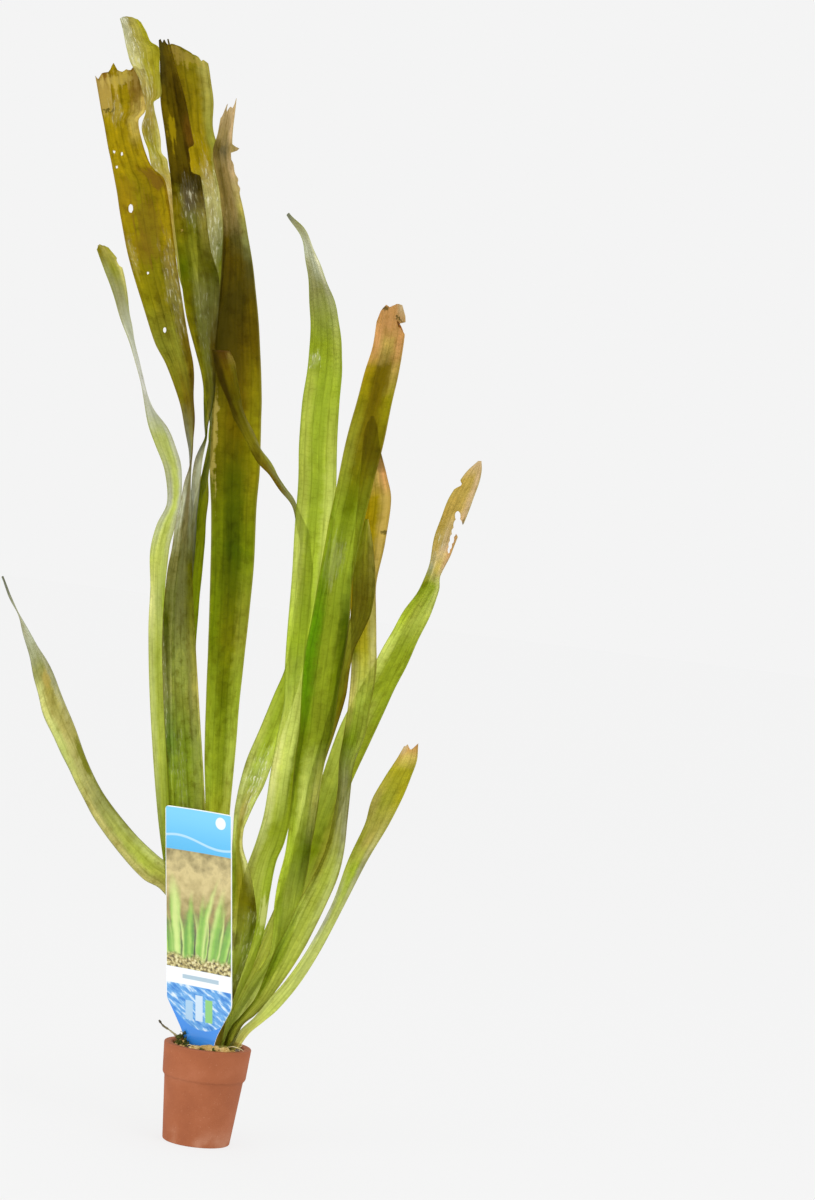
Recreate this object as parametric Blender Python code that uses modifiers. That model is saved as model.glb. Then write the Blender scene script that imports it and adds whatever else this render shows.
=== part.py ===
"""A vallisneria in a small clay pot, as sold for aquariums: strap leaves, crown, pot and label.

Metres, +Z up. The origin is the centre of the pot's flat base, and -Y faces the viewer.
Leaf outlines are given as the two borders seen from the front, in image units, with the
depth of each border in millimetres.
"""

import math

import bmesh
import bpy
from mathutils import Matrix, Vector

MM = 0.001

# The pot
POT_HEIGHT = 50 * MM
RIM_HEIGHT = 16 * MM
RIM_TOP_RADIUS = 22.5 * MM
RIM_BOTTOM_RADIUS = 21.4 * MM
BODY_TOP_RADIUS = 20.3 * MM
BASE_RADIUS = 17.25 * MM
WALL = 4 * MM
FLOOR_THICKNESS = 5 * MM
EDGE_ROUND = 1.0 * MM
GAP = 0.3 * MM

# What fills it, and the stem on top
MEDIUM_TOP = 46 * MM
LUMP_HEIGHT = 1.6 * MM
LUMP_WAVES_PER_METRE = (610, 530)
PLUG_RING_STEPS = (2.0 * MM, 2.5 * MM, 3.0 * MM, 3.5 * MM)
CROWN_CENTRE = (3.6 * MM, 0.6 * MM)
CROWN_RADII = (13.0 * MM, 9.8 * MM)
CROWN_TOP = 48.6 * MM
CROWN_TAPER = 0.92
CROWN_EDGE_ROUND = 0.8 * MM
FOOT_HEIGHT = 49.0 * MM

# The leaves
LEAF_THICKNESS = 0.7 * MM
LEAF_CHANNEL = 0.9 * MM
FULL_CHANNEL_WIDTH = 12 * MM
FOOT_SHARE = 1 / 12
LEAF_ROWS = 38
LEAF_COLUMNS = 2

# The stick-in label
LABEL_WIDTH = 39.8 * MM
LABEL_HEIGHT = 128.4 * MM
LABEL_THICKNESS = 0.6 * MM
LABEL_CORNER = 2.0 * MM
LABEL_STAKE_WIDTH = 16 * MM
LABEL_STAKE_DEPTH = 12 * MM
LABEL_STAKE_POINT = (4.8 * MM, 3 * MM)
LABEL_SHOULDER = [
    (8.0 * MM, 3.0 * MM), (9.2 * MM, 7.0 * MM), (10.6 * MM, 11.5 * MM), (13.6 * MM, 17.0 * MM),
    (LABEL_WIDTH / 2, 28.0 * MM),
]
LABEL_FOOT = Vector((-3.1 * MM, -11.5 * MM, MEDIUM_TOP))
LABEL_YAW = math.radians(29)
LABEL_LEAN = math.radians(12)
LABEL_ROLL = math.radians(-0.7)

# The dead runner over the rim
RUNNER_RADIUS = 0.6 * MM
RUNNER_TIP_SHARE = 0.55
RUNNER_ROUTE = [
    (-13.0 * MM, -3.5 * MM, 47.6 * MM),
    (-14.2 * MM, -3.8 * MM, 50.4 * MM),
    (-16.6 * MM, -4.2 * MM, 53.2 * MM),
    (-20.2 * MM, -4.6 * MM, 55.6 * MM),
    (-23.6 * MM, -4.8 * MM, 57.4 * MM),
    (-26.2 * MM, -4.6 * MM, 60.0 * MM),
]

# The front view that the leaf borders are given in: a unit is 0.513 mm on the plane y = 0,
# the pot's base centre is at BASE_PIXEL, and the picture is turned by VIEW_ROLL.
PIXEL = 0.513 * MM
BASE_PIXEL = (195.5, 1141.0)
VIEW_ROLL = math.radians(7.2)
VIEW_DISTANCE = 1436 * MM
VIEW_CENTRE = (73 * MM, 289 * MM)

# The leaves part from each other in depth as they rise: this is how much more at the very top
FAN_OUT = 0.9
FAN_START = 90 * MM
PLANT_HEIGHT = 563 * MM

# Each leaf from foot to tip: left border x, y, right border x, y, left depth, right depth.
# Left and right are those of the foot; they change sides where a leaf turns over.
LEAF_FAR_LEFT = [
    (192, 1046, 201, 1046, -2, -2), (190, 1000, 202, 996, -3, -3), (185, 950, 200, 942, -4, -4),
    (176, 912, 190, 896, -6, -5), (160, 889, 174, 868, -9, -6), (143, 879, 158, 856, -13, -8),
    (120, 854, 134, 833, -18, -11), (95, 820, 107, 799, -23, -15), (80, 792, 93, 775, -26, -18),
    (61, 753, 75, 729, -30, -22), (43, 714, 59.6, 690, -33, -26), (35, 682, 46.8, 661, -35, -30),
    (27.8, 652, 35, 641.6, -37, -34), (20.2, 622.6, 22.6, 621.4, -39, -37),
    (9.4, 597, 11.2, 596, -40, -39), (0.8, 577, 2.2, 576, -41, -40),
]
LEAF_TWISTED_LEFT = [
    (196, 1046, 206, 1046, 1.5, 1.5), (188, 1000, 201, 1000, 2.5, 2.5), (176, 940, 190, 940, 4, 4),
    (166, 880, 180, 880, 5.5, 5.5), (157.3, 812, 172, 812, 8, 8), (150.2, 710, 170, 710, 11, 11),
    (148.2, 632, 169, 634, 13, 14), (150, 590, 165, 592, 14, 17), (150, 552, 169, 549, 15, 19),
    (156.3, 525, 175, 524, 15, 21), (167, 502, 180, 500, 15, 23), (165, 472, 181.5, 474, 16, 25),
    (155.3, 445.5, 176, 448, 17, 27), (148.6, 425, 166.4, 427, 18, 29),
    (143.8, 402, 150, 403, 18, 31), (139.4, 376, 142, 376, 19, 32), (131, 348, 135.4, 347, 20, 32),
    (121.6, 322, 130.6, 321, 21, 31), (114.6, 298, 127.2, 297, 22, 30),
    (104.4, 271, 122, 268, 23, 29), (96.5, 248, 108, 247, 24, 28),
]
LEAF_BROAD_OLIVE = [
    (198, 1046, 208, 1046, -6, -6), (188, 990, 205, 990, -7, -7), (178, 930, 204, 930, -8, -8),
    (172, 870, 205, 870, -9, -9), (169, 805, 204.8, 805, -10, -9), (163.5, 705, 199, 705, -11, -9),
    (162, 640, 195.3, 643, -12, -10), (165.5, 584, 192.5, 588, -14, -9),
    (171.6, 547.6, 191.5, 550, -16, -8), (178.4, 509.8, 190.8, 510, -18, -7),
    (184.8, 482, 190.4, 483, -19, -6.5), (188.7, 468, 189.6, 468, -19.5, -6.5),
    (192.4, 448, 188, 446, -19, -7.5), (194, 421, 183.7, 422, -18, -9),
    (193.4, 392, 176.5, 392, -17, -10), (193, 363.7, 165.5, 364, -16, -11),
    (188.6, 341, 154.5, 342, -15, -12), (182, 300, 141, 300, -14, -13),
    (176, 260, 129, 260, -14, -13), (170.5, 216, 120.2, 216, -14, -13),
    (167.5, 194, 117, 194, -14, -13), (163.5, 178, 114, 178, -14, -13),
    (153.5, 169, 112.5, 170, -14, -13), (148.6, 161, 110.9, 161, -14, -13),
    (142.4, 143, 107.4, 145, -14, -13), (138.2, 120, 103.4, 122, -14, -13),
    (145, 111, 101.4, 112, -14, -13), (146, 88, 97.5, 90, -14, -13),
    (143.5, 65, 94.5, 73, -14, -13),
]
LEAF_LIGHT_TALL = [
    (199, 1046, 209, 1046, 8, 8), (190, 1000, 204, 1000, 9, 9), (182, 930, 202, 930, 11, 11),
    (176, 860, 200, 860, 13, 13), (174, 790, 198, 790, 15, 15), (172, 700, 192, 700, 18, 18),
    (172, 620, 190, 620, 20, 22), (178, 560, 192, 560, 21, 26), (194, 505, 201, 505, 22, 31),
    (201.5, 478, 206.5, 478, 22, 32), (207, 458, 209.8, 458, 22, 33), (209.4, 440, 211.2, 440, 22, 34),
    (208, 404, 212, 404, 22, 33), (198, 350, 210, 350, 21, 28),
    (185, 302, 199, 302, 18, 22), (175, 255, 190, 255, 8, 14), (170, 226, 187, 226, 1, 8),
    (164.5, 190, 176, 190, -3, 4), (157.5, 176, 170, 176, -6, 0.5),
    (152.2, 167, 168, 167, -9.5, -4.5), (149.6, 159, 167.2, 159.5, -12, -6),
    (147, 149, 161, 152, -14, -8), (144, 138, 159.4, 138, -16, -11),
    (141.8, 124, 157, 120, -19, -14), (144.9, 111, 153.9, 107, -20.5, -16),
    (145, 102, 153.2, 101, -21.5, -17), (143.6, 95, 160, 95.5, -22, -17.5),
    (139.3, 80, 160.2, 80, -23.5, -18.5), (130.8, 64, 159.4, 62, -24, -19),
    (127.5, 51, 158.4, 48, -24, -19.5), (124.6, 39, 150.2, 42, -24, -20),
    (122, 29, 146, 31, -24, -20), (119.5, 18, 140.5, 21, -24, -20),
]
LEAF_DARK_TALL = [
    (200, 1046, 210, 1046, 5, 5), (192, 1000, 206, 1000, 5.5, 5.5), (184, 930, 204, 930, 6, 6),
    (181, 860, 203, 860, 6.5, 6.5), (178, 790, 200, 790, 7, 7), (174.5, 700, 194, 700, 7, 7),
    (174.5, 620, 190, 620, 6, 6), (180, 560, 194, 558, 3, 6), (190.3, 505, 197.8, 502, -1, 6.5),
    (191.8, 476, 200.4, 474, -3, 6.5), (195, 460, 202.6, 458, -4.5, 6),
    (199.2, 450, 203.9, 449, -5.5, 6), (204.4, 439, 204.8, 439, -6, 6),
    (207.2, 424, 204, 424, -6, 5.5), (213, 404, 204, 404, -5.5, 5),
    (215.3, 385, 203, 385, -5.5, 3), (214.5, 350, 195.3, 350, -5.5, 0),
    (217.6, 315, 186, 316, -5, -1), (219, 280, 181, 278, -5, -2), (211, 252, 177, 248, -5, -2),
    (205.5, 212, 173, 212, -5, -2), (200.3, 176, 170.5, 178, -5, -2), (192, 135, 164.5, 132, -5, -2),
    (186, 104, 160.6, 102, -5, -2), (179.9, 81.6, 159.8, 79, -5, -2), (173, 57, 159.5, 55, -5, -2),
    (167.5, 38, 158.8, 38, -5, -2),
]
LEAF_OLIVE_TALL = [
    (206, 1046, 216, 1046, 6.5, 6.5), (198, 1000, 214, 1000, 7.5, 7.5), (190, 930, 212, 930, 9, 9),
    (184, 860, 208, 860, 10, 10), (180, 790, 203, 790, 11, 11), (175, 700, 197, 700, 12, 12),
    (176, 650, 195.8, 648, 12, 12), (180, 600, 199.2, 601, 12, 12), (186, 558, 203.3, 558, 11, 12),
    (193, 510, 206.8, 510, 10, 14), (200.5, 478, 208.6, 478, 9, 16.5),
    (206.2, 458, 210.8, 458, 8, 18.5), (208.6, 440, 212, 440, 8, 19.5),
    (209, 424, 213, 424, 8.5, 20), (206, 380, 214, 380, 9, 18), (202, 330, 218, 330, 10, 15),
    (199, 290, 222, 290, 10, 14), (197, 250, 225, 250, 10, 14), (194, 200, 225, 200, 10, 14),
    (187, 160, 220, 158, 9, 13), (181, 130, 213, 128, 8, 12), (176, 100, 213, 100, 8, 12),
    (172, 75, 210.5, 78, 8, 12), (169, 44, 207.5, 63, 8, 12),
]
LEAF_LONG_CENTRE = [
    (206, 1046, 217, 1046, 3.5, 3.5), (200, 1000, 220, 1000, 4, 4), (198, 930, 224, 930, 4.5, 4.5),
    (200, 870, 227, 870, 5, 5), (204.8, 810, 229.8, 811, 5, 5), (204.3, 755, 235, 755, 5, 5),
    (205.8, 700, 239.5, 700, 5, 5), (208.4, 632, 247, 632, 5, 5), (210.4, 560, 253.7, 565, 4, 5),
    (210.9, 510, 256.3, 507, 4, 5), (209.6, 470, 259.6, 470, 3, 5), (211.6, 420, 261, 420, 3, 5),
    (212.2, 398, 261.6, 398, 3, 5),
    (214, 333, 259.3, 335, 3, 5), (218, 300, 256.3, 298, 3, 5), (221.5, 262, 252.5, 265, 3, 5),
    (222.5, 224, 246, 225, 3, 5), (219.5, 194, 239.4, 194, 3, 5), (214.5, 168, 234, 170, 3, 5),
    (212.5, 150, 232, 150, 3, 5), (217.5, 133, 232.5, 133, 3, 4), (222.5, 110, 235, 110, 3, 4),
    (228, 98, 236, 98, 3, 4),
]
LEAF_CROSSING = [
    (213, 1046, 221, 1046, -5.8, -5.8), (212.5, 1025, 226, 1020, -6.5, -6.5),
    (214, 1000, 232.5, 1000, -7.5, -7.2), (218, 975, 241, 975, -8.5, -8),
    (222, 950, 249.5, 950, -9.5, -8.5), (226, 920, 256, 920, -10, -9),
    (229, 895, 254.5, 897, -10, -9.5), (231, 868, 248.7, 868, -10, -9.5),
    (232, 845, 242.5, 847, -10, -7.5), (233, 828, 243.2, 830, -9, -5),
    (233.8, 815, 247.4, 819, -8, -4), (236, 800, 255, 802, -6, -2),
    (239.5, 783, 264, 785, -4, 0), (248, 755, 273, 760, -1, 2), (260, 728, 281, 735, 1, 3),
    (270, 703, 290, 710, 2, 4), (283, 673, 300, 678, 3, 5), (291, 640, 307, 642, 3, 6),
    (296, 600, 311, 600, 3, 7), (299, 560, 312, 560, 2, 8), (298, 530, 306, 527, 0, 9),
    (291.5, 507, 296, 505, -1, 9), (280, 489, 285, 487, -2, 8), (270, 477, 275, 471, -3, 6),
    (259.4, 464, 265, 455, -4, 3), (245, 440, 255, 437, -5, -1), (236, 422, 247.5, 420, -6, -2),
    (229.8, 407.6, 241, 403, -7, -3), (221.6, 387, 237.7, 380, -8, -4),
    (215.6, 369, 235.5, 366, -8.5, -5), (211.5, 350, 229.5, 351, -8.5, -5),
]
LEAF_BRIGHT_CENTRE = [
    (214, 1046, 222, 1046, -2.5, -2.5), (221, 1010, 234, 1008, -3, -3),
    (230, 970, 252, 968, -3.5, -3.5), (236, 930, 264, 930, -4, -4), (240, 890, 270, 892, -4.2, -4.2),
    (247.6, 864, 276, 862, -4.4, -4.4), (256, 841, 284, 843, -4.6, -4.6),
    (264, 813, 291, 815, -4.6, -4.6), (271, 768, 298, 768, -4.6, -4.4),
    (277, 736, 304, 736, -4.6, -4.2), (284, 700, 311, 700, -4.5, -4),
    (284.5, 671, 316, 671, -4.5, -4), (287, 632, 322, 632, -4.5, -4),
    (291.6, 577.6, 328, 577, -4.5, -4), (294.8, 523, 333, 523, -4.5, -4),
    (297.8, 485.7, 336, 487, -4, -3), (298.8, 445, 336.8, 447, -3, -2), (301.8, 404, 339, 406, -1, 0),
    (307, 369.4, 341.8, 371, 1, 3), (309.8, 340, 341, 342, 3, 6), (309.5, 305, 335.5, 306, 6, 9),
    (306, 262, 318.5, 262, 9, 12), (300.5, 237, 306.5, 233, 11, 13),
    (286.5, 214.5, 289, 212.5, 14, 15),
]
LEAF_ORANGE_TIP = [
    (218, 1046, 227, 1046, -4, -4), (223.5, 1029, 235, 1029, -4.2, -4.2),
    (233, 1011, 247, 1012, -4.6, -4.4), (251, 980, 267, 983, -5.2, -4.8),
    (268, 955, 284, 957, -5.8, -5), (272.5, 930, 293, 932, -6, -5), (274, 905, 300, 906, -6.2, -5),
    (278, 880, 305, 882, -6.5, -5.2), (284.5, 855, 309.5, 857, -7, -5.8),
    (288, 831, 313, 830, -7.4, -6.4), (291.5, 795, 318.5, 797, -8, -7),
    (294.8, 760, 325, 760, -8.6, -7.8), (299, 729, 332.8, 729, -9, -8.4),
    (301.5, 686, 339.5, 685, -9.5, -9), (304.6, 653.5, 345, 655, -10, -9.5),
    (311, 621, 349.3, 622, -10, -9.5), (318.7, 577.6, 352.3, 580, -10, -9.5),
    (328.4, 523.4, 362, 530, -10, -9), (338.6, 475.5, 374, 480, -10, -9),
    (345.7, 440.8, 383, 445, -10, -9), (355.9, 404, 391.5, 404, -10, -9),
    (364, 373.5, 398.5, 373, -10, -9), (372.2, 347, 403.3, 345, -10, -9),
    (376.3, 322.4, 405, 326, -10, -8), (380, 307, 404.8, 306, -10, -8),
]
LEAF_OCHRE_TIP = [
    (222, 1046, 232, 1046, -5.5, -5.5), (230, 1028, 242, 1026, -5.9, -5.9),
    (243, 1013, 256, 1014, -6.3, -6.3), (255, 998, 270, 998, -6.8, -6.8),
    (265, 975, 287, 975, -7.4, -7.4), (275, 950, 303, 950, -8, -8),
    (286.5, 928, 314.5, 928, -8.5, -8.5), (298.6, 902.4, 327, 902, -9, -9),
    (313, 876, 338, 876, -9, -9), (325, 850, 344, 850, -8, -8), (333, 817, 347.5, 818, -6.5, -7),
    (337.5, 790, 350.5, 790, -5, -6), (339, 762, 354, 764, -3.5, -5), (343.5, 735, 364, 737, -3, -4),
    (348, 705, 370, 707, -2.5, -3), (351, 670, 376, 670, -2.5, -3), (351, 640, 376.3, 640, -2, -3),
    (350.5, 610, 375.7, 610, -2, -3), (351, 580, 376.5, 582, -2, -3), (354, 540, 385, 542, -2, -3),
    (357, 505, 390.9, 500, -2, -2), (360, 475, 386.5, 475, -3, -2), (362.5, 445, 379.5, 447, -4, -3),
    (366, 426, 377, 426, -4, -3), (370.5, 416, 373.5, 416, -4, -3.5),
]
LEAF_HIDDEN_BROWN = [
    (219, 1046, 227, 1046, -1, -1), (225, 1020, 236, 1020, -1, -1), (240, 990, 254, 990, -1, -1),
    (256, 955, 273, 955, -1.2, -1.2), (270, 920, 288, 920, -1.4, -1.4),
    (283, 880, 301, 880, -1.6, -1.6), (295, 840, 312, 840, -2, -2), (304, 805, 318, 805, -3, -2.5),
    (311, 772, 322, 772, -4.4, -3.4), (322, 735, 333.6, 735, -5, -4),
    (333, 697, 345.5, 697, -6, -5.4), (337, 672, 349.5, 670, -6.5, -5.8),
    (342, 650, 354, 650, -6.8, -6), (347, 632, 362.5, 632, -6.8, -6),
    (351, 612, 371, 612, -6.8, -5.8), (352.5, 580, 375, 582, -6.8, -5.8),
    (355.7, 554.8, 373.5, 553, -6.6, -5.6), (360, 537.6, 371.5, 536, -6.4, -5.4),
    (365.5, 519, 368, 519, -6, -5.4),
]
LEAF_TORN_RIGHT = [
    (217, 1046, 226, 1046, 0.5, 0.5), (222, 1020, 235, 1022, 0.6, 0.6),
    (236, 990, 252, 994, 0.8, 0.8), (252, 955, 273, 958, 1, 1), (268, 922, 293, 925, 1, 1),
    (284, 885, 312, 888, 1.2, 1.2), (297, 850, 327, 853, 1.5, 1.5), (309, 815, 338, 818, 2, 2),
    (322, 776, 352, 781, 2.5, 3), (335, 738, 371, 740, 3, 4), (345.5, 714, 382, 716, 3, 5),
    (361, 686, 395, 688, 3, 6), (376, 660, 408, 662, 3, 7), (389, 636, 419, 638, 4, 9),
    (404.3, 610, 431, 612, 6, 12), (419.5, 588, 439.2, 590, 8, 16), (427, 573, 439.5, 575, 10, 18),
    (431, 552, 451, 554, 12, 18), (438, 525, 461.5, 527, 14, 19), (448, 500, 472, 502, 16, 20),
    (458.5, 482, 478.5, 484, 18, 21), (467, 471, 481, 471, 20, 22), (478.5, 461, 481, 461, 22, 22.5),
]
LEAF_SHORT_RIGHT = [
    (226, 1046, 237, 1046, -7, -7), (239, 1031, 248.5, 1034, -7.5, -7.5),
    (253.8, 1017.5, 264, 1021, -8, -8), (266, 1002, 278, 1009, -8.5, -8.5),
    (285, 981, 299, 984, -9.5, -9.5), (307, 949.7, 320, 951, -11, -11.5),
    (331.3, 905, 343.8, 906, -13, -15), (348, 860, 367, 861, -16, -19),
    (364.9, 823.4, 389, 824, -19, -23), (372, 799, 402, 798.7, -21, -25),
    (384.8, 777, 410.8, 777, -23, -27), (397, 758, 417, 760, -25, -28),
    (406, 743, 418, 743, -26, -28),
]

LEAVES = {
    "leaf_far_left": (LEAF_FAR_LEFT, (0.40, 0.35, 0.05)),
    "leaf_twisted_left": (LEAF_TWISTED_LEFT, (0.40, 0.52, 0.08)),
    "leaf_broad_olive": (LEAF_BROAD_OLIVE, (0.28, 0.22, 0.02)),
    "leaf_light_tall": (LEAF_LIGHT_TALL, (0.38, 0.37, 0.05)),
    "leaf_dark_tall": (LEAF_DARK_TALL, (0.08, 0.06, 0.01)),
    "leaf_olive_tall": (LEAF_OLIVE_TALL, (0.34, 0.26, 0.02)),
    "leaf_long_centre": (LEAF_LONG_CENTRE, (0.16, 0.15, 0.01)),
    "leaf_crossing": (LEAF_CROSSING, (0.16, 0.14, 0.02)),
    "leaf_bright_centre": (LEAF_BRIGHT_CENTRE, (0.32, 0.46, 0.03)),
    "leaf_orange_tip": (LEAF_ORANGE_TIP, (0.20, 0.26, 0.03)),
    "leaf_ochre_tip": (LEAF_OCHRE_TIP, (0.42, 0.30, 0.08)),
    "leaf_hidden_brown": (LEAF_HIDDEN_BROWN, (0.12, 0.08, 0.01)),
    "leaf_torn_right": (LEAF_TORN_RIGHT, (0.34, 0.40, 0.03)),
    "leaf_short_right": (LEAF_SHORT_RIGHT, (0.28, 0.34, 0.05)),
}


def clear_scene():
    for old in list(bpy.data.objects):
        bpy.data.objects.remove(old, do_unlink=True)


def new_collection(name):
    collection = bpy.data.collections.new(name)
    bpy.context.scene.collection.children.link(collection)
    return collection


def finish_material(name, color, roughness):
    material = bpy.data.materials.new(name)
    material.use_nodes = True
    shader = material.node_tree.nodes["Principled BSDF"]
    shader.inputs["Base Color"].default_value = (*color, 1.0)
    shader.inputs["Roughness"].default_value = roughness
    shader.inputs["Metallic"].default_value = 0.0
    return material


def add_object(name, mesh, collection, material=None):
    obj = bpy.data.objects.new(name, mesh)
    collection.objects.link(obj)
    if material:
        mesh.materials.append(material)
    return obj


def mesh_from(bm, name):
    mesh = bpy.data.meshes.new(name)
    bm.to_mesh(mesh)
    bm.free()
    return mesh


def turned_mesh(name, profile):
    """The open profile of a turned piece, in the plane y = 0, for a Screw modifier."""
    mesh = bpy.data.meshes.new(name)
    points = [(radius, 0.0, height) for radius, height in profile]
    mesh.from_pydata(points, [(i, i + 1) for i in range(len(points) - 1)], [])
    return mesh


def add_screw(obj, steps):
    screw = obj.modifiers.new("turn", "SCREW")
    screw.axis = "Z"
    screw.angle = math.tau
    screw.steps = steps
    screw.render_steps = steps
    screw.use_merge_vertices = True
    screw.merge_threshold = 0.00005


def rounded_corner(corner, before, after, radius):
    """Three points that round a profile's corner: on the way in, near the corner, on the way out."""
    corner, before, after = Vector(corner), Vector(before), Vector(after)
    entry = corner + (before - corner).normalized() * radius
    leave = corner + (after - corner).normalized() * radius
    middle = (entry + leave) / 4 + corner / 2
    return [tuple(entry), tuple(middle), tuple(leave)]


def make_pot(collection):
    rim_bottom = POT_HEIGHT - RIM_HEIGHT
    inner_top = RIM_TOP_RADIUS - WALL
    inner_bottom = BASE_RADIUS - WALL
    lip_inside, lip_outside = (inner_top, POT_HEIGHT), (RIM_TOP_RADIUS, POT_HEIGHT)
    rim_foot, under_rim = (RIM_BOTTOM_RADIUS, rim_bottom), (BODY_TOP_RADIUS, rim_bottom)
    floor_corner, base_corner = (inner_bottom, FLOOR_THICKNESS), (BASE_RADIUS, 0.0)
    profile = [(0.0, FLOOR_THICKNESS), floor_corner]
    profile += rounded_corner(lip_inside, floor_corner, lip_outside, EDGE_ROUND)
    profile += rounded_corner(lip_outside, lip_inside, rim_foot, EDGE_ROUND)
    profile += rounded_corner(rim_foot, lip_outside, under_rim, EDGE_ROUND)
    profile += [(BODY_TOP_RADIUS, rim_bottom - EDGE_ROUND)]
    profile += rounded_corner(base_corner, under_rim, (0.0, 0.0), EDGE_ROUND)
    profile += [(0.0, 0.0)]
    material = finish_material("terracotta", (0.46, 0.15, 0.06), 0.85)
    pot = add_object("pot", turned_mesh("pot", profile), collection, material)
    add_screw(pot, 48)
    return pot


def crown_distance(point):
    """1 on the crown's outline, less inside it and more outside."""
    across = (point.x - CROWN_CENTRE[0]) / CROWN_RADII[0]
    deep = (point.y - CROWN_CENTRE[1]) / CROWN_RADII[1]
    return math.hypot(across, deep)


def make_growing_medium(collection, cutters):
    """A tapered plug with a lumpy top, flat under the crown, and a slot for the label."""
    bottom_radius = BASE_RADIUS - WALL - GAP
    top_radius = RIM_TOP_RADIUS - WALL - 2.5 * GAP
    bottom = FLOOR_THICKNESS + GAP
    bm = bmesh.new()
    bmesh.ops.create_circle(bm, cap_ends=True, radius=bottom_radius, segments=32)
    outline = list(bm.faces)
    grown = bmesh.ops.extrude_face_region(bm, geom=outline)
    top_ring = [item for item in grown["geom"] if isinstance(item, bmesh.types.BMVert)]
    bmesh.ops.translate(bm, verts=top_ring, vec=(0, 0, MEDIUM_TOP - bottom))
    bmesh.ops.scale(bm, verts=top_ring, vec=(top_radius / bottom_radius, top_radius / bottom_radius, 1))
    lid = [item for item in grown["geom"] if isinstance(item, bmesh.types.BMFace)]
    for step in PLUG_RING_STEPS:
        bmesh.ops.inset_region(bm, faces=lid, thickness=step)
    bmesh.ops.translate(bm, verts=bm.verts, vec=(0, 0, bottom))
    for vert in bm.verts:
        radius = math.hypot(vert.co.x, vert.co.y)
        if vert.co.z < MEDIUM_TOP - GAP or radius > top_radius - GAP:
            continue
        clear = min(max(2.5 * (crown_distance(vert.co) - 1.15), 0.0), 1.0)
        across, deep = LUMP_WAVES_PER_METRE
        lump = math.sin(vert.co.x * across + 1.0) * math.sin(vert.co.y * deep - 0.5)
        vert.co.z += LUMP_HEIGHT * clear * (0.45 + 0.55 * lump)
    bmesh.ops.recalc_face_normals(bm, faces=bm.faces)
    material = finish_material("rooting_fibre", (0.16, 0.11, 0.05), 0.95)
    medium = add_object("growing_medium", mesh_from(bm, "growing_medium"), collection, material)
    slot = bpy.data.meshes.new("label_slot")
    bm = bmesh.new()
    bmesh.ops.create_cube(bm, size=1.0)
    size = (LABEL_STAKE_WIDTH + 2 * GAP, LABEL_THICKNESS + 2 * GAP, 2 * (LABEL_STAKE_DEPTH + GAP))
    bmesh.ops.scale(bm, verts=bm.verts, vec=size)
    bm.to_mesh(slot)
    bm.free()
    cutter = add_object("label_slot", slot, cutters)
    cutter.matrix_world = label_place()
    cutter.display_type = "WIRE"
    cutter.hide_render = True
    cut = medium.modifiers.new("label_slot", "BOOLEAN")
    cut.operation = "DIFFERENCE"
    cut.solver = "EXACT"
    cut.object = cutter
    return medium


def make_crown(collection):
    """The low stem that the leaves stand on: a squashed drum with rounded edges."""
    low = MEDIUM_TOP + GAP
    bm = bmesh.new()
    bmesh.ops.create_cone(
        bm, cap_ends=True, segments=28, radius1=1.0, radius2=CROWN_TAPER, depth=CROWN_TOP - low
    )
    for vert in bm.verts:
        vert.co.x *= CROWN_RADII[0]
        vert.co.y *= CROWN_RADII[1]
    centre = (CROWN_CENTRE[0], CROWN_CENTRE[1], (low + CROWN_TOP) / 2)
    bmesh.ops.translate(bm, verts=bm.verts, vec=centre)
    upper = [edge for edge in bm.edges if all(v.co.z > centre[2] for v in edge.verts)]
    bmesh.ops.bevel(
        bm, geom=upper, offset=CROWN_EDGE_ROUND, affect="EDGES", segments=2, profile=0.5, material=-1
    )
    material = finish_material("crown_tissue", (0.38, 0.34, 0.14), 0.6)
    return add_object("crown", mesh_from(bm, "crown"), collection, material)


def make_old_runner(collection):
    curve = bpy.data.curves.new("old_runner", "CURVE")
    curve.dimensions = "3D"
    curve.bevel_depth = RUNNER_RADIUS
    curve.bevel_resolution = 1
    curve.use_fill_caps = True
    spline = curve.splines.new("POLY")
    spline.points.add(len(RUNNER_ROUTE) - 1)
    for point, place in zip(spline.points, RUNNER_ROUTE):
        point.co = (*place, 1.0)
    spline.points[-1].radius = RUNNER_TIP_SHARE
    runner = add_object("old_runner", curve, collection)
    curve.materials.append(finish_material("dead_stalk", (0.17, 0.13, 0.08), 0.8))
    return runner


def label_place():
    """Turns the label's own frame (x right, z up, foot at the origin) into its place in the pot."""
    yaw = Matrix.Rotation(-LABEL_YAW, 4, "Z")
    lean = Matrix.Rotation(LABEL_LEAN, 4, "X")
    roll = Matrix.Rotation(LABEL_ROLL, 4, "Y")
    return Matrix.Translation(LABEL_FOOT) @ yaw @ lean @ roll


def make_plant_label(collection):
    half, top, corner = LABEL_WIDTH / 2, LABEL_HEIGHT, LABEL_CORNER
    stake, foot = LABEL_STAKE_WIDTH / 2, -LABEL_STAKE_DEPTH
    point_half, point_rise = LABEL_STAKE_POINT
    right_side = [(point_half, foot), (stake, foot + point_rise), *LABEL_SHOULDER]
    right_side += [
        (half, top - corner), (half - 0.3 * corner, top - 0.3 * corner), (half - corner, top),
    ]
    outline = right_side + [(-across, height) for across, height in reversed(right_side)]
    bm = bmesh.new()
    front = -LABEL_THICKNESS / 2
    verts = [bm.verts.new((across, front, height)) for across, height in outline]
    face = bm.faces.new(verts)
    grown = bmesh.ops.extrude_face_region(bm, geom=[face])
    moved = [item for item in grown["geom"] if isinstance(item, bmesh.types.BMVert)]
    bmesh.ops.translate(bm, verts=moved, vec=(0, LABEL_THICKNESS, 0))
    bmesh.ops.recalc_face_normals(bm, faces=bm.faces)
    material = finish_material("printed_plastic", (0.20, 0.52, 0.85), 0.3)
    label = add_object("plant_label", mesh_from(bm, "plant_label"), collection, material)
    label.matrix_world = label_place()
    return label


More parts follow.
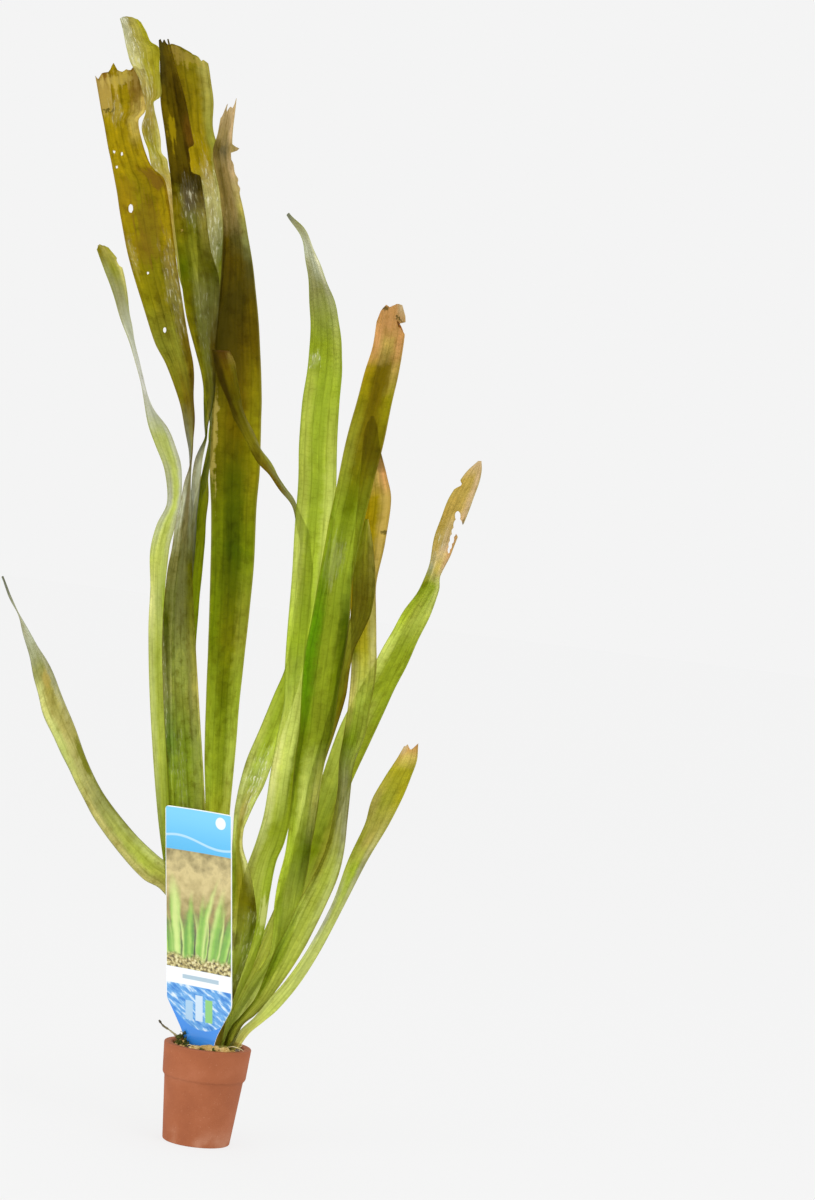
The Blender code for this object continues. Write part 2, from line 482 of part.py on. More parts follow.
def front_view_point(across, down, depth_mm):
    """The point in space that the front view shows at (across, down), depth_mm behind y = 0."""
    right = (across - BASE_PIXEL[0]) * PIXEL
    up = (BASE_PIXEL[1] - down) * PIXEL
    x = right * math.cos(VIEW_ROLL) - up * math.sin(VIEW_ROLL)
    z = right * math.sin(VIEW_ROLL) + up * math.cos(VIEW_ROLL)
    fan = max(z - FAN_START, 0.0) / (PLANT_HEIGHT - FAN_START)
    depth = depth_mm * MM * (1 + FAN_OUT * fan)
    spread = 1 + depth / VIEW_DISTANCE
    x = VIEW_CENTRE[0] + (x - VIEW_CENTRE[0]) * spread
    z = VIEW_CENTRE[1] + (z - VIEW_CENTRE[1]) * spread
    return Vector((x, depth, z))


def smooth_path(points, at):
    """A function that reads a smooth curve through the points, which stand at the values in at."""
    last = len(points) - 1
    slopes = []
    for i in range(last + 1):
        low, high = max(i - 1, 0), min(i + 1, last)
        slopes.append((points[high] - points[low]) / (at[high] - at[low]))

    def read(t):
        i = 0
        while i < last - 1 and t > at[i + 1]:
            i += 1
        span = at[i + 1] - at[i]
        s = (t - at[i]) / span
        s2, s3 = s * s, s * s * s
        start = points[i] * (2 * s3 - 3 * s2 + 1) + slopes[i] * span * (s3 - 2 * s2 + s)
        end = points[i + 1] * (3 * s2 - 2 * s3) + slopes[i + 1] * span * (s3 - s2)
        return start + end

    return read


def leaf_surface(stations):
    """A function of (across, along), both 0 to 1, that gives a point of the leaf's middle sheet."""
    left = [front_view_point(s[0], s[1], s[4]) for s in stations]
    right = [front_view_point(s[2], s[3], s[5]) for s in stations]
    left[0].z = FOOT_HEIGHT
    right[0].z = FOOT_HEIGHT
    lengths = [0.0]
    for i in range(1, len(stations)):
        step = (left[i] + right[i] - left[i - 1] - right[i - 1]) / 2
        lengths.append(lengths[-1] + step.length)
    left_path = smooth_path(left, lengths)
    right_path = smooth_path(right, lengths)
    total = lengths[-1]

    def point(across, along):
        t = along * total
        edge_a, edge_b = left_path(t), right_path(t)
        ahead, behind = min(t + MM, total), max(t - MM, 0.0)
        run = left_path(ahead) + right_path(ahead) - left_path(behind) - right_path(behind)
        normal = (edge_b - edge_a).cross(run)
        hollow = 4 * across * (1 - across) * LEAF_CHANNEL
        hollow *= min(1.0, (edge_b - edge_a).length / FULL_CHANNEL_WIDTH)
        hollow *= min(1.0, along / FOOT_SHARE)
        return edge_a.lerp(edge_b, across) + normal.normalized() * hollow

    return point


def make_leaf(name, stations, color, collection):
    """A flat grid whose points are moved to the leaf's own surface, then thickened."""
    surface = leaf_surface(stations)
    bm = bmesh.new()
    bmesh.ops.create_grid(bm, x_segments=LEAF_COLUMNS, y_segments=LEAF_ROWS, size=1.0)
    for vert in bm.verts:
        vert.co = surface((vert.co.x + 1) / 2, (vert.co.y + 1) / 2)
    material = finish_material(name + "_tissue", color, 0.4)
    leaf = add_object(name, mesh_from(bm, name), collection, material)
    thick = leaf.modifiers.new("thickness", "SOLIDIFY")
    thick.thickness = LEAF_THICKNESS
    thick.offset = 0.0
    leaf.data.shade_smooth()
    return leaf


def main():
    clear_scene()
    parts = new_collection("vallisneria")
    cutters = new_collection("vallisneria_cutters")
    pot = make_pot(parts)
    make_growing_medium(parts, cutters)
    make_crown(parts)
    make_old_runner(parts)
    make_plant_label(parts)
    for name, (stations, color) in LEAVES.items():
        make_leaf(name, stations, color, parts)
    pot.data.shade_smooth()


main()
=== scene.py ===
# %% [markdown]
# # A vallisneria in a clay pot
# The plant has fourteen strap leaves that rise from one short crown. The crown sits in a plug
# of rooting fibre, the plug fills a small clay pot, and a printed plastic card is pushed in
# beside it. The solids of the same plant are loaded first. They give the size and the place
# of every part, and each cell below dresses one of them in finer shape and finish.

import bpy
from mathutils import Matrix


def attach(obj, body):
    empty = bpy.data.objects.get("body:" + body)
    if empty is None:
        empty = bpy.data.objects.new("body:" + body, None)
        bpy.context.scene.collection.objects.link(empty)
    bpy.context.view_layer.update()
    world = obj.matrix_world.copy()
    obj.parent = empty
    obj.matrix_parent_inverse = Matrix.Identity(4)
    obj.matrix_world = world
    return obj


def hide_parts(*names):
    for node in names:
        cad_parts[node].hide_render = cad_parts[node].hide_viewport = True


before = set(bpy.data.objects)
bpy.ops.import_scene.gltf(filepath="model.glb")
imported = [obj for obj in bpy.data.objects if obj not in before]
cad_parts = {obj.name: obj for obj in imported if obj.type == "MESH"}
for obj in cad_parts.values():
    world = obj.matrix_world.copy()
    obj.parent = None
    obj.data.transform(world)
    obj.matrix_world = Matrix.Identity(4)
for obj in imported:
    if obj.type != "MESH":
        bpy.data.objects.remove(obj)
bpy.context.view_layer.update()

# %%
import math
import random

import bmesh
import bpy
from mathutils import Matrix, Vector
from mathutils import noise as smooth_noise

MM = 0.001

# %% [markdown]
# ## The camera
# The leaves were drawn from the front, so the same numbers that turn a place in the front view
# into a place in space also set the camera. It stands level in front of the plant and is
# rolled a few degrees. The lens follows from the height of the view at the plant, because a
# lens is only the sensor's size times distance over the height seen.

# %% The camera
PIXEL = 0.513 * MM
VIEW_SIZE = (815, 1200)
BASE_PIXEL = (195.5, 1141.0)
VIEW_ROLL = math.radians(7.2)
VIEW_DISTANCE = 1436 * MM
VIEW_CENTRE = (73 * MM, 289 * MM)
SENSOR = 36.0


def stand(name, data):
    """Puts a camera, a lamp or a mesh into the scene as an object."""
    made = bpy.data.objects.new(name, data)
    bpy.context.scene.collection.objects.link(made)
    return made


camera_data = bpy.data.cameras.new("front_camera")
camera_data.sensor_width = SENSOR
camera_data.lens = SENSOR * VIEW_DISTANCE / (VIEW_SIZE[1] * PIXEL)
camera = stand("front_camera", camera_data)
camera.matrix_world = (
    Matrix.Translation((VIEW_CENTRE[0], -VIEW_DISTANCE, VIEW_CENTRE[1]))
    @ Matrix.Rotation(-VIEW_ROLL, 4, "Y")
    @ Matrix.Rotation(math.radians(90), 4, "X")
)
bpy.context.scene.camera = camera
bpy.context.scene.view_settings.view_transform = "Standard"
print("lens", round(camera_data.lens, 1), "mm")

# %% [markdown]
# ## Node helpers
# Every finish below is a small network of nodes. These helpers add a node to the finish that
# was started last, set its sockets and hand back one output. An output can be added, taken
# away and multiplied like a number, so that a finish reads like a recipe. Colours are written
# as the eye sees them, 0 to 255, and turned into linear light here.

# %% Colours and node outputs
bench = {}


def tone(red, green, blue):
    return tuple(
        (c / 255 / 12.92) if c <= 10 else ((c / 255 + 0.055) / 1.055) ** 2.4
        for c in (red, green, blue)
    ) + (1.0,)


class Flow:
    """One output of a node, on its way to the next."""

    def __init__(self, socket):
        self.socket = socket

    def __add__(self, other):
        return maths("ADD", self, other)

    def __sub__(self, other):
        return maths("SUBTRACT", self, other)

    def __mul__(self, other):
        return maths("MULTIPLY", self, other)


# %% Add one node
def start_nodes(owner):
    owner.use_nodes = True
    owner.node_tree.nodes.clear()
    bench["tree"] = owner.node_tree
    return owner


def add(kind, sockets=None, out=0, **settings):
    tree = bench["tree"]
    made = tree.nodes.new("ShaderNode" + kind)
    for name, value in settings.items():
        setattr(made, name, value)
    for name, value in (sockets or {}).items():
        socket = made.inputs[name]
        if isinstance(value, Flow):
            tree.links.new(value.socket, socket)
        elif socket.type == "RGBA" and len(value) == 3:
            socket.default_value = tone(*value)
        else:
            socket.default_value = value
    return Flow(made.outputs[out]) if len(made.outputs) else None


# %% Arithmetic with nodes
def maths(operation, first, second=0.0):
    return add("Math", {0: first, 1: second}, operation=operation)


def vectors(operation, first, second=(0.0, 0.0, 0.0)):
    out = 1 if operation == "LENGTH" else 0
    return add("VectorMath", {0: first, 1: second}, out, operation=operation)


def stretch(vector, *scale):
    return vectors("MULTIPLY", vector, scale)


def split(vector):
    return [Flow(part) for part in add("SeparateXYZ", {0: vector}).socket.node.outputs]


def fade(value, low, high, start=0.0, end=1.0):
    """A smooth step: start where value is below low, end where it is above high."""
    sockets = {"Value": value, "From Min": low, "From Max": high, "To Min": start, "To Max": end}
    return add("MapRange", sockets, interpolation_type="SMOOTHSTEP")


# %% Colours, bumps and surfaces
def blend(amount, first, second, mode="MIX"):
    return add("Mix", {0: amount, 6: first, 7: second}, 2, data_type="RGBA", blend_type=mode)


def noise(vector, scale, detail=3.0, roughness=0.55, out=0):
    sockets = {"Vector": vector, "Scale": scale, "Detail": detail, "Roughness": roughness}
    return add("TexNoise", sockets, out)


def ramp(value, stops):
    made = add("ValToRGB", {"Fac": value})
    elements = made.socket.node.color_ramp.elements
    while len(elements) < len(stops):
        elements.new(0.5)
    for element, (position, color) in zip(elements, sorted(stops)):
        element.position = position
        element.color = tone(*color)
    return made


def relief(height, strength, depth):
    return add("Bump", {"Height": height, "Strength": strength, "Distance": depth * MM})


def skin(color, roughness, gloss, bumps):
    return add("BsdfPrincipled", {"Base Color": color, "Roughness": roughness,
                                  "Specular IOR Level": gloss, "Normal": bumps})


def mix_shaders(share, first, second):
    return add("MixShader", {0: share, 1: first, 2: second})


def new_finish(name):
    return start_nodes(bpy.data.materials.new(name))


def close_finish(shader, kind="Material"):
    add("Output" + kind, {"Surface": shader})


# %% [markdown]
# ## Light
# Thin leaves show their true colour only when light comes through them from behind. A white
# room all round does that from every side. The camera sees the room as a plain pale grey, so
# the lighting can be set without changing the background. One wide lamp on the left and one
# small one above give the wet leaves and the clay their soft highlights.

# %% The room and the lamps
BACKDROP = (0.905, 0.905, 0.905, 1.0)
ROOM_LIGHT = 1.08

bpy.context.scene.world = start_nodes(bpy.data.worlds.new("pale_room"))
room = add("Background", {"Color": (1.0, 1.0, 1.0, 1.0), "Strength": ROOM_LIGHT})
seen = add("Background", {"Color": BACKDROP})
close_finish(mix_shaders(add("LightPath", out="Is Camera Ray"), room, seen), "World")

for name, place, aim, size, watts in (
    ("left_softbox", (-1.0, -0.9, 0.55), (0.0, 0.0, 0.2), 0.7, 4.0),
    ("top_softbox", (0.5, -0.5, 1.5), (0.0, 0.0, 0.3), 0.4, 3.0),
):
    lamp = bpy.data.lights.new(name, "AREA")
    lamp.size = size
    lamp.energy = watts
    turn = (Vector(aim) - Vector(place)).to_track_quat("-Z", "Y")
    stand(name, lamp).matrix_world = Matrix.Translation(place) @ turn.to_matrix().to_4x4()
print("room light", ROOM_LIGHT)

# %% [markdown]
# ## The floor
# A plain pale floor carries the pot. Most of its light is its own, so it keeps the pale grey of
# the background and takes only a faint shadow from the pot.

# %% The floor
FLOOR_SIZE = 60.0
FLOOR_OWN_LIGHT = 0.86


def mesh_object(name, bm):
    """Turns a finished bmesh into an object, standing where its numbers put it."""
    mesh = bpy.data.meshes.new(name)
    bm.to_mesh(mesh)
    bm.free()
    return stand(name, mesh)


bm = bmesh.new()
bmesh.ops.create_grid(bm, x_segments=1, y_segments=1, size=FLOOR_SIZE / 2)
floor = mesh_object("floor", bm)
floor.data.materials.append(new_finish("pale_floor"))
matte = add("BsdfDiffuse", {"Color": (0.8, 0.8, 0.8, 1.0)})
close_finish(mix_shaders(FLOOR_OWN_LIGHT, matte, add("Emission", {"Color": BACKDROP})))

# %% [markdown]
# ## A leaf as a surface
# A strap leaf is a ribbon that bends, twists and tapers. Its two borders are given from foot to
# tip as they are seen from the front, with the depth of each. A smooth curve is laid through
# each border, and any point of the leaf is found between the two curves, pushed out a little
# so that the leaf is hollow like a channel. The same numbers made the solids, so the dressed
# leaf lies exactly where its solid does.

# %% From the front view to space
FAN_OUT = 0.9
FAN_START = 90 * MM
PLANT_HEIGHT = 563 * MM
FOOT_HEIGHT = 49.0 * MM


def front_view_point(across, down, depth_mm):
    right = (across - BASE_PIXEL[0]) * PIXEL
    up = (BASE_PIXEL[1] - down) * PIXEL
    x = right * math.cos(VIEW_ROLL) - up * math.sin(VIEW_ROLL)
    z = right * math.sin(VIEW_ROLL) + up * math.cos(VIEW_ROLL)
    fan = max(z - FAN_START, 0.0) / (PLANT_HEIGHT - FAN_START)
    depth = depth_mm * MM * (1 + FAN_OUT * fan)
    spread = 1 + depth / VIEW_DISTANCE
    x = VIEW_CENTRE[0] + (x - VIEW_CENTRE[0]) * spread
    z = VIEW_CENTRE[1] + (z - VIEW_CENTRE[1]) * spread
    return Vector((x, depth, z))


def in_front_view(point):
    """Where the front view shows a point: the reverse of front_view_point."""
    spread = 1 + point.y / VIEW_DISTANCE
    x = VIEW_CENTRE[0] + (point.x - VIEW_CENTRE[0]) / spread
    z = VIEW_CENTRE[1] + (point.z - VIEW_CENTRE[1]) / spread
    right = x * math.cos(VIEW_ROLL) + z * math.sin(VIEW_ROLL)
    up = z * math.cos(VIEW_ROLL) - x * math.sin(VIEW_ROLL)
    return Vector((BASE_PIXEL[0] + right / PIXEL, BASE_PIXEL[1] - up / PIXEL))


# %% A smooth curve through points
def smooth_path(points, at):
    last = len(points) - 1
    slopes = []
    for i in range(last + 1):
        low, high = max(i - 1, 0), min(i + 1, last)
        slopes.append((points[high] - points[low]) / (at[high] - at[low]))

    def read(t):
        i = 0
        while i < last - 1 and t > at[i + 1]:
            i += 1
        span = at[i + 1] - at[i]
        s = (t - at[i]) / span
        s2, s3 = s * s, s * s * s
        start = points[i] * (2 * s3 - 3 * s2 + 1) + slopes[i] * span * (s3 - 2 * s2 + s)
        end = points[i + 1] * (3 * s2 - 2 * s3) + slopes[i + 1] * span * (s3 - s2)
        return start + end

    return read


# %% [markdown]
# A leaf sheet bundles what the later cells ask of a leaf: its length and mean width, the point
# at any place across and along it, and the reverse, the place on the leaf that the front view
# shows at a given spot. The reverse lets tears, holes and stains be placed where they are seen.
# It is found by looking along a ladder of rungs, each a line across the leaf.

# %% The leaf sheet
LEAF_CHANNEL = 0.9 * MM
FULL_CHANNEL_WIDTH = 12 * MM
CHANNEL_RISE = 12
RUNGS = 500
OVERSHOOT = 1.03
SIDE_REACH = 0.2


def level(left_x, right_x, y, depth):
    return left_x, y, right_x, y, depth, depth


class LeafSheet:
    def __init__(self, rows):
        rows = [row if len(row) == 6 else level(*row) for row in rows]
        left = [front_view_point(row[0], row[1], row[4]) for row in rows]
        right = [front_view_point(row[2], row[3], row[5]) for row in rows]
        left[0].z = right[0].z = FOOT_HEIGHT
        lengths = [0.0]
        for i in range(1, len(rows)):
            step = (left[i] + right[i] - left[i - 1] - right[i - 1]) / 2
            lengths.append(lengths[-1] + step.length)
        self.left = smooth_path(left, lengths)
        self.right = smooth_path(right, lengths)
        self.length = lengths[-1]
        self.width = sum((b - a).length for a, b in zip(left, right)) / len(left)
        self.rungs = []
        for i in range(RUNGS + 1):
            along = OVERSHOOT * i / RUNGS
            ends = [in_front_view(path(along * self.length)) for path in (self.left, self.right)]
            self.rungs.append((along, *ends))

    def normal(self, along):
        t = along * self.length
        ahead, behind = min(t + MM, self.length), max(t - MM, 0.0)
        run = self.left(ahead) + self.right(ahead) - self.left(behind) - self.right(behind)
        return (self.right(t) - self.left(t)).cross(run).normalized()

    def point(self, across, along):
        edge_a, edge_b = self.left(along * self.length), self.right(along * self.length)
        hollow = 4 * across * (1 - across) * LEAF_CHANNEL
        hollow *= min(1.0, (edge_b - edge_a).length / FULL_CHANNEL_WIDTH)
        hollow *= min(1.0, CHANNEL_RISE * along)
        return edge_a.lerp(edge_b, across) + self.normal(along) * hollow

    def find(self, x, y):
        """The place (across, along) that the front view shows at x, y."""
        spot = Vector((x, y))

        def away(rung):
            _, a, b = rung
            side = b - a
            share = (spot - a).dot(side) / max(side.length_squared, 1e-9)
            share = max(-SIDE_REACH, min(1 + SIDE_REACH, share))
            return (a + side * share - spot).length, share

        best = min(self.rungs, key=lambda rung: away(rung)[0])
        return away(best)[1], best[0]

    def along_at(self, y):
        """How far along the leaf its middle line is at the height y of the front view."""
        return min(self.rungs, key=lambda rung: abs((rung[1].y + rung[2].y) / 2 - y))[0]


# %% [markdown]
# ## The leaf mesh
# A leaf starts as a flat grid of points. Each point moves to its place on the sheet, and a low
# wave is added towards the borders, which are never quite flat on a real leaf. Three kinds of
# damage are cut in: the tip is pulled back to a torn outline, a border is bitten in or drawn
# out into a shred, and holes are cleared of faces with their rim drawn to a clean ellipse.
# Solidify then gives the sheet its thickness, thinner than paper card.

# %% Torn tips and bitten borders
TEAR_REACH = 22 * MM
BITE_STEEPNESS = 2.5


def lay_tip(sheet, outline):
    """Reads the torn end: how far along the leaf each line across it reaches."""
    places = sorted(sheet.find(x, y) for x, y in outline)

    def reach(across):
        if across <= places[0][0]:
            return places[0][1]
        for (a0, b0), (a1, b1) in zip(places, places[1:]):
            if across <= a1:
                return b0 + (b1 - b0) * (across - a0) / max(a1 - a0, 1e-6)
        return places[-1][1]

    return reach


def bite_depth(sheet, bites, side, along):
    """How far a border is drawn in. A bite has a blunt floor, and a negative one is a shred."""
    depth = 0.0
    for bite_side, y, half_height, pixels in bites:
        if bite_side == side:
            off = abs(along - sheet.along_at(y)) * sheet.length / (half_height * PIXEL)
            share = max(0.0, 1 - off)
            depth += (share if pixels < 0 else min(1.0, BITE_STEEPNESS * share)) * pixels * PIXEL
    return depth


# %% Holes
def cut_holes(bm, holes):
    seen_at = {vert: in_front_view(vert.co) for vert in bm.verts}
    right = Vector((math.cos(VIEW_ROLL), 0, math.sin(VIEW_ROLL))) * PIXEL
    down = Vector((math.sin(VIEW_ROLL), 0, -math.cos(VIEW_ROLL))) * PIXEL
    for x, y, half_width, half_height in holes:
        def reach(vert):
            off = seen_at[vert] - Vector((x, y))
            return math.hypot(off.x / half_width, off.y / half_height)

        inside = {vert for vert in seen_at if vert.is_valid and reach(vert) < 1}
        gone = [f for f in bm.faces if sum(v in inside for v in f.verts) > 1]
        rim = {v for f in gone for v in f.verts}
        bmesh.ops.delete(bm, geom=gone, context="FACES")
        for vert in rim:
            if vert.is_valid:
                move = (seen_at[vert] - Vector((x, y))) * (1 / max(reach(vert), 0.2) - 1)
                vert.co += right * move.x + down * move.y


# %% Lay the grid on the sheet
RIPPLE_START = 150 * MM
RIPPLE_RISE = 100 * MM


def lay_on_sheet(bm, sheet, ends, bites, waves, ripple):
    """Moves the flat grid to its place in space, and hands back each point's place on the leaf."""
    place, nips = {}, {}
    for vert in bm.verts:
        across, along = (vert.co.x + 1) / 2, (vert.co.y + 1) / 2
        pull = max(0.0, 1 - (1 - along) * sheet.length / TEAR_REACH)
        row = round(vert.co.y, 5)
        if bites and row not in nips:
            nips[row] = [bite_depth(sheet, bites, side, along + (end - 1) * pull)
                         for side, end in (("left", ends[0]), ("right", ends[-1]))]
        along += (ends[round(across * (len(ends) - 1))] - 1) * pull
        if bites:
            left, right = (depth / sheet.width for depth in nips[row])
            across = left + across * (1 - left - right)
        spot = sheet.point(across, along)
        swell = ripple * MM * min(1.0, max(0.0, (spot.z - RIPPLE_START) / RIPPLE_RISE))
        for side, (wave, start) in zip((-1, 1), waves):
            near = max(0.0, side * (2 * across - 1)) ** 2
            rise = math.sin(along * sheet.length * math.tau / wave + start)
            spot += sheet.normal(along) * swell * near * rise
        vert.co = spot
        place[vert] = (across, along)
    return place


# %% Build one leaf
CELL = 1.15 * MM
COLUMN_WIDTH = 0.85 * MM
FEWEST_COLUMNS = 8
WAVE_LENGTHS = (18, 34)
SHEET_THICKNESS = 0.34 * MM


def build_leaf(name, sheet, tip=(), bites=(), holes=(), ripple=0.5, seed=0):
    random.seed(seed)
    waves = [(random.uniform(*WAVE_LENGTHS) * MM, random.uniform(0, math.tau)) for _ in range(2)]
    columns = max(FEWEST_COLUMNS, round(sheet.width / COLUMN_WIDTH))
    rows = round(sheet.length / CELL)
    reach = lay_tip(sheet, tip) if tip else (lambda across: 1.0)
    ends = [reach(i / columns) for i in range(columns + 1)]
    bm = bmesh.new()
    bmesh.ops.create_grid(bm, x_segments=columns, y_segments=rows, size=1.0)
    place = lay_on_sheet(bm, sheet, ends, bites, waves, ripple)
    uv = bm.loops.layers.uv.new("leaf_plan")
    for face in bm.faces:
        for loop in face.loops:
            loop[uv].uv = place[loop.vert]
    cut_holes(bm, holes)
    leaf = mesh_object(name, bm)
    leaf.data.shade_smooth()
    thick = leaf.modifiers.new("thickness", "SOLIDIFY")
    thick.thickness = SHEET_THICKNESS
    thick.offset = 0.0
    print(name, "length", round(sheet.length / MM), "mm, faces", len(leaf.data.polygons))
    return leaf


# %% [markdown]
# ## The leaf finish
# Wet leaf tissue is thin: most of what is seen is light that came through it, part of it
# scattered and part of it straight. So the finish mixes a glossy surface with a translucent
# and a clear one. The colour is a run of tones along the leaf from foot to tip, in three lanes
# side by side, because a leaf is seldom the same at both borders, and because a fold, a twist
# or a leaf lying over it leaves one side lit and the other in shade: there the lanes carry
# painted shade and painted sheen. Over it come darker strands along the leaf, the parallel
# veins with their short cross veins, a narrow line along both borders, stains where this leaf
# has them, a few of them painted sheen, and painted glints, fine bright streaks that stand for
# wet shine. A little noise is added to the place on the leaf before it is read, so no edge is
# ruled.

# %% The tones of the plant
# glint is the colour of painted highlights; silver, frost, pewter, slate, hay and dry also paint
# sheen on some leaves, as noted there.
TONES = dict(
    cream=(239, 241, 149), pale=(195, 205, 109), light=(182, 195, 72), fresh=(163, 184, 45),
    acid=(178, 171, 33), mid=(147, 164, 31), deep=(115, 117, 5), dark=(91, 99, 2),
    sage=(144, 145, 79), pewter=(184, 188, 158), olive=(169, 145, 7), dull=(152, 154, 42),
    drab=(118, 99, 4), flax=(178, 168, 77), umber=(113, 101, 66), tan=(156, 158, 86),
    straw=(230, 206, 105), ochre=(198, 169, 79), orange=(218, 162, 97), rust=(128, 92, 20),
    brown=(93, 77, 4), peat=(70, 60, 6), slate=(127, 131, 114), dry=(169, 169, 124),
    moss=(119, 136, 8), lime=(216, 229, 109), bark=(88, 81, 28), bronze=(133, 122, 9),
    frost=(201, 205, 176), sallow=(201, 195, 111), glint=(242, 240, 206), silver=(216, 216, 210),
    husk=(212, 183, 136), leaf=(129, 180, 15), bottle=(75, 93, 2), sea=(117, 147, 48),
    mustard=(148, 141, 12), khaki=(166, 144, 86), hay=(226, 218, 120), spring=(197, 220, 60),
)

# %% Tones in three lanes
def tone_run(sheet, tones, side, along):
    """The run of tones in one lane. A row of one tone is the same in all three."""
    stops = []
    for y, keys in tones.items():
        keys = keys.split()
        stops.append((min(1.0, max(0.0, sheet.along_at(y))), TONES[keys[side % len(keys)]]))
    return ramp(along, stops)


# Where a fold or an overlapping leaf lights or shades one side, that lane's tones are painted
# shade or sheen.
def three_lanes(sheet, tones, ragged):
    across, along, _ = split(ragged)
    left, middle, right = (tone_run(sheet, tones, side, along) for side in range(3))
    color = blend(fade(across, 0.14, 0.42), left, middle)
    return blend(fade(across, 0.58, 0.86), color, right)


# %% Strands, bands and blotches
def shaded(amount, color, factor):
    """The colour with a share of a darker or lighter version of itself."""
    return blend(amount, color, blend(1.0, color, (*factor, 1.0), "MULTIPLY"))


def grained(color, flat, strands, patches, grain, mottle):
    bands = noise(stretch(flat, 1.0, 0.05, 1.0), 230.0, 2.0)
    blotches = noise(stretch(flat, 1.0, 0.5, 1.0), 330.0, 4.0)
    for pattern, limits, factor in (
        (bands, (0.5, 0.7, 0.0, grain), (0.74, 0.76, 0.6)),
        (bands, (0.3, 0.5, grain, 0.0), (1.22, 1.18, 1.1)),
        (strands, (0.5, 0.66, 0.0, grain), (0.72, 0.74, 0.55)),
        (strands, (0.34, 0.48, grain, 0.0), (1.3, 1.26, 1.3)),
        (patches, (0.48, 0.66, 0.0, mottle), (0.72, 0.66, 0.5)),
        (blotches, (0.52, 0.64, 0.0, mottle), (0.68, 0.64, 0.45)),
        (blotches, (0.34, 0.46, mottle, 0.0), (1.25, 1.22, 1.15)),
    ):
        color = shaded(fade(pattern, *limits), color, factor)
    return color


# %% The net of veins
VEIN_WIDTH = 0.16 * MM
NET_LENGTH = 2.5 * MM


def vein_net(sheet, plan, flat, wander, patches, veins):
    """Parallel veins with short cross veins between them, each lane stepped from the last."""
    across, along, _ = split(plan)
    lanes = across * float(veins) + noise(stretch(flat, 1.0, 0.2, 1.0), 90.0) * 0.6
    half_line = veins * VEIN_WIDTH / sheet.width
    vein = fade(maths("PINGPONG", lanes, 0.5), half_line, 2.2 * half_line, 1.0, 0.0)
    steps = along * (sheet.length / NET_LENGTH) + maths("FLOOR", lanes) * 0.37
    steps = steps + split(wander)[0] * 2.6
    rung = fade(maths("PINGPONG", steps, 0.5), 0.03, 0.13, 0.7, 0.0)
    return maths("MAXIMUM", vein, rung) * fade(patches, 0.3, 0.62, 0.35, 1.0)


# %% Stains and painted glints
def oval(sheet, place, x, y, half_width, half_height, fray):
    """How far a point is from a spot of the front view, 1 at the edge of an oval there."""
    at_across, at_along = sheet.find(x, y)
    off = vectors("SUBTRACT", place, (at_across, at_along, 0.0))
    half_width, half_height = half_width * PIXEL, half_height * PIXEL
    off = stretch(off, sheet.width / half_width, sheet.length / half_height, 0.0)
    return vectors("LENGTH", off) + fray


def stained(color, sheet, ragged, stains, fray):
    for *spot, key, amount in stains:
        far = oval(sheet, ragged, *spot, fray)
        color = blend(fade(far, 0.6, 1.1, amount, 0.0), color, TONES[key])
    return color


def glinting(color, sheet, ragged, glints, fray, flat, drift):
    """Painted highlights: fine bright streaks of wet shine, only inside the ovals."""
    bent = vectors("ADD", flat, stretch(drift, 2.2 * MM, 3 * MM, 0.0))
    # The glint tone laid on in these streaks is a painted highlight.
    shine_streaks = fade(noise(stretch(bent, 1.0, 0.13, 1.0), 1500.0), 0.54, 0.66, 0.1, 1.0)
    for *spot, amount in glints:
        seen = fade(oval(sheet, ragged, *spot, fray), 0.5, 1.2, amount, 0.0)
        color = blend(seen * shine_streaks, color, TONES["glint"])
    return color


# %% Wet tissue
THROUGH_SHARE = 0.86
CLEAR_SHARE = 0.72
TISSUE_GAMMA = 0.45


def wet_tissue(color, roughness, bumps):
    surface = skin(color, roughness, 0.16, bumps)
    tint = add("Gamma", {"Color": color, "Gamma": TISSUE_GAMMA})
    glow = add("BsdfTranslucent", {"Color": tint, "Normal": bumps})
    through = mix_shaders(CLEAR_SHARE, glow, add("BsdfTransparent", {"Color": tint}))
    return mix_shaders(THROUGH_SHARE, surface, through)


# %% One leaf's finish
def leaf_finish(name, sheet, tones, stains=(), glints=(), veins=5, net_depth=0.5, mottle=0.6,
                grain=0.5, border="drab", border_depth=0.5):
    material = new_finish(name)
    plan = add("UVMap", uv_map="leaf_plan")
    flat = stretch(plan, sheet.width, sheet.length, 1.0)
    wander = noise(flat, 220.0, 5.0, 0.65, out=1)
    drift = vectors("SUBTRACT", wander, (0.5, 0.5, 0.5))
    ragged = vectors("ADD", plan, stretch(drift, 0.3, 0.03, 0.0))
    strands = noise(stretch(flat, 1.0, 0.06, 1.0), 900.0)
    patches = noise(stretch(flat, 1.0, 0.35, 1.0), 90.0)
    fray = (strands - 0.5) * 2.4

    color = three_lanes(sheet, tones, ragged)
    color = grained(color, flat, strands, patches, grain, mottle)
    net = vein_net(sheet, plan, flat, wander, patches, veins)
    color = shaded(net * net_depth, color, (0.55, 0.56, 0.35))
    color = stained(color, sheet, ragged, stains, fray)
    rim = fade(maths("PINGPONG", split(plan)[0], 0.5), 0.0, 0.05, border_depth, 0.0)
    color = blend(rim, color, TONES[border])
    # Painted highlights of wet shine, where this leaf has them.
    if glints:
        color = glinting(color, sheet, ragged, glints, fray, flat, drift)
    roughness = fade(patches, 0.3, 0.7, 0.28, 0.45)
    close_finish(wet_tissue(color, roughness, relief(strands * 0.6 - net, 0.4, 0.25)))
    return material


# %% Grow a leaf
def grow(node, rows, look, **shape):
    """Builds the leaf that stands for one solid, and gives it its finish."""
    sheet = LeafSheet(rows)
    leaf = build_leaf(node.replace("leaf_", "") + "_leaf", sheet, **shape)
    leaf.data.materials.append(leaf_finish(node + "_tissue", sheet, **look))
    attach(leaf, "root")
    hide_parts(node)
    return leaf


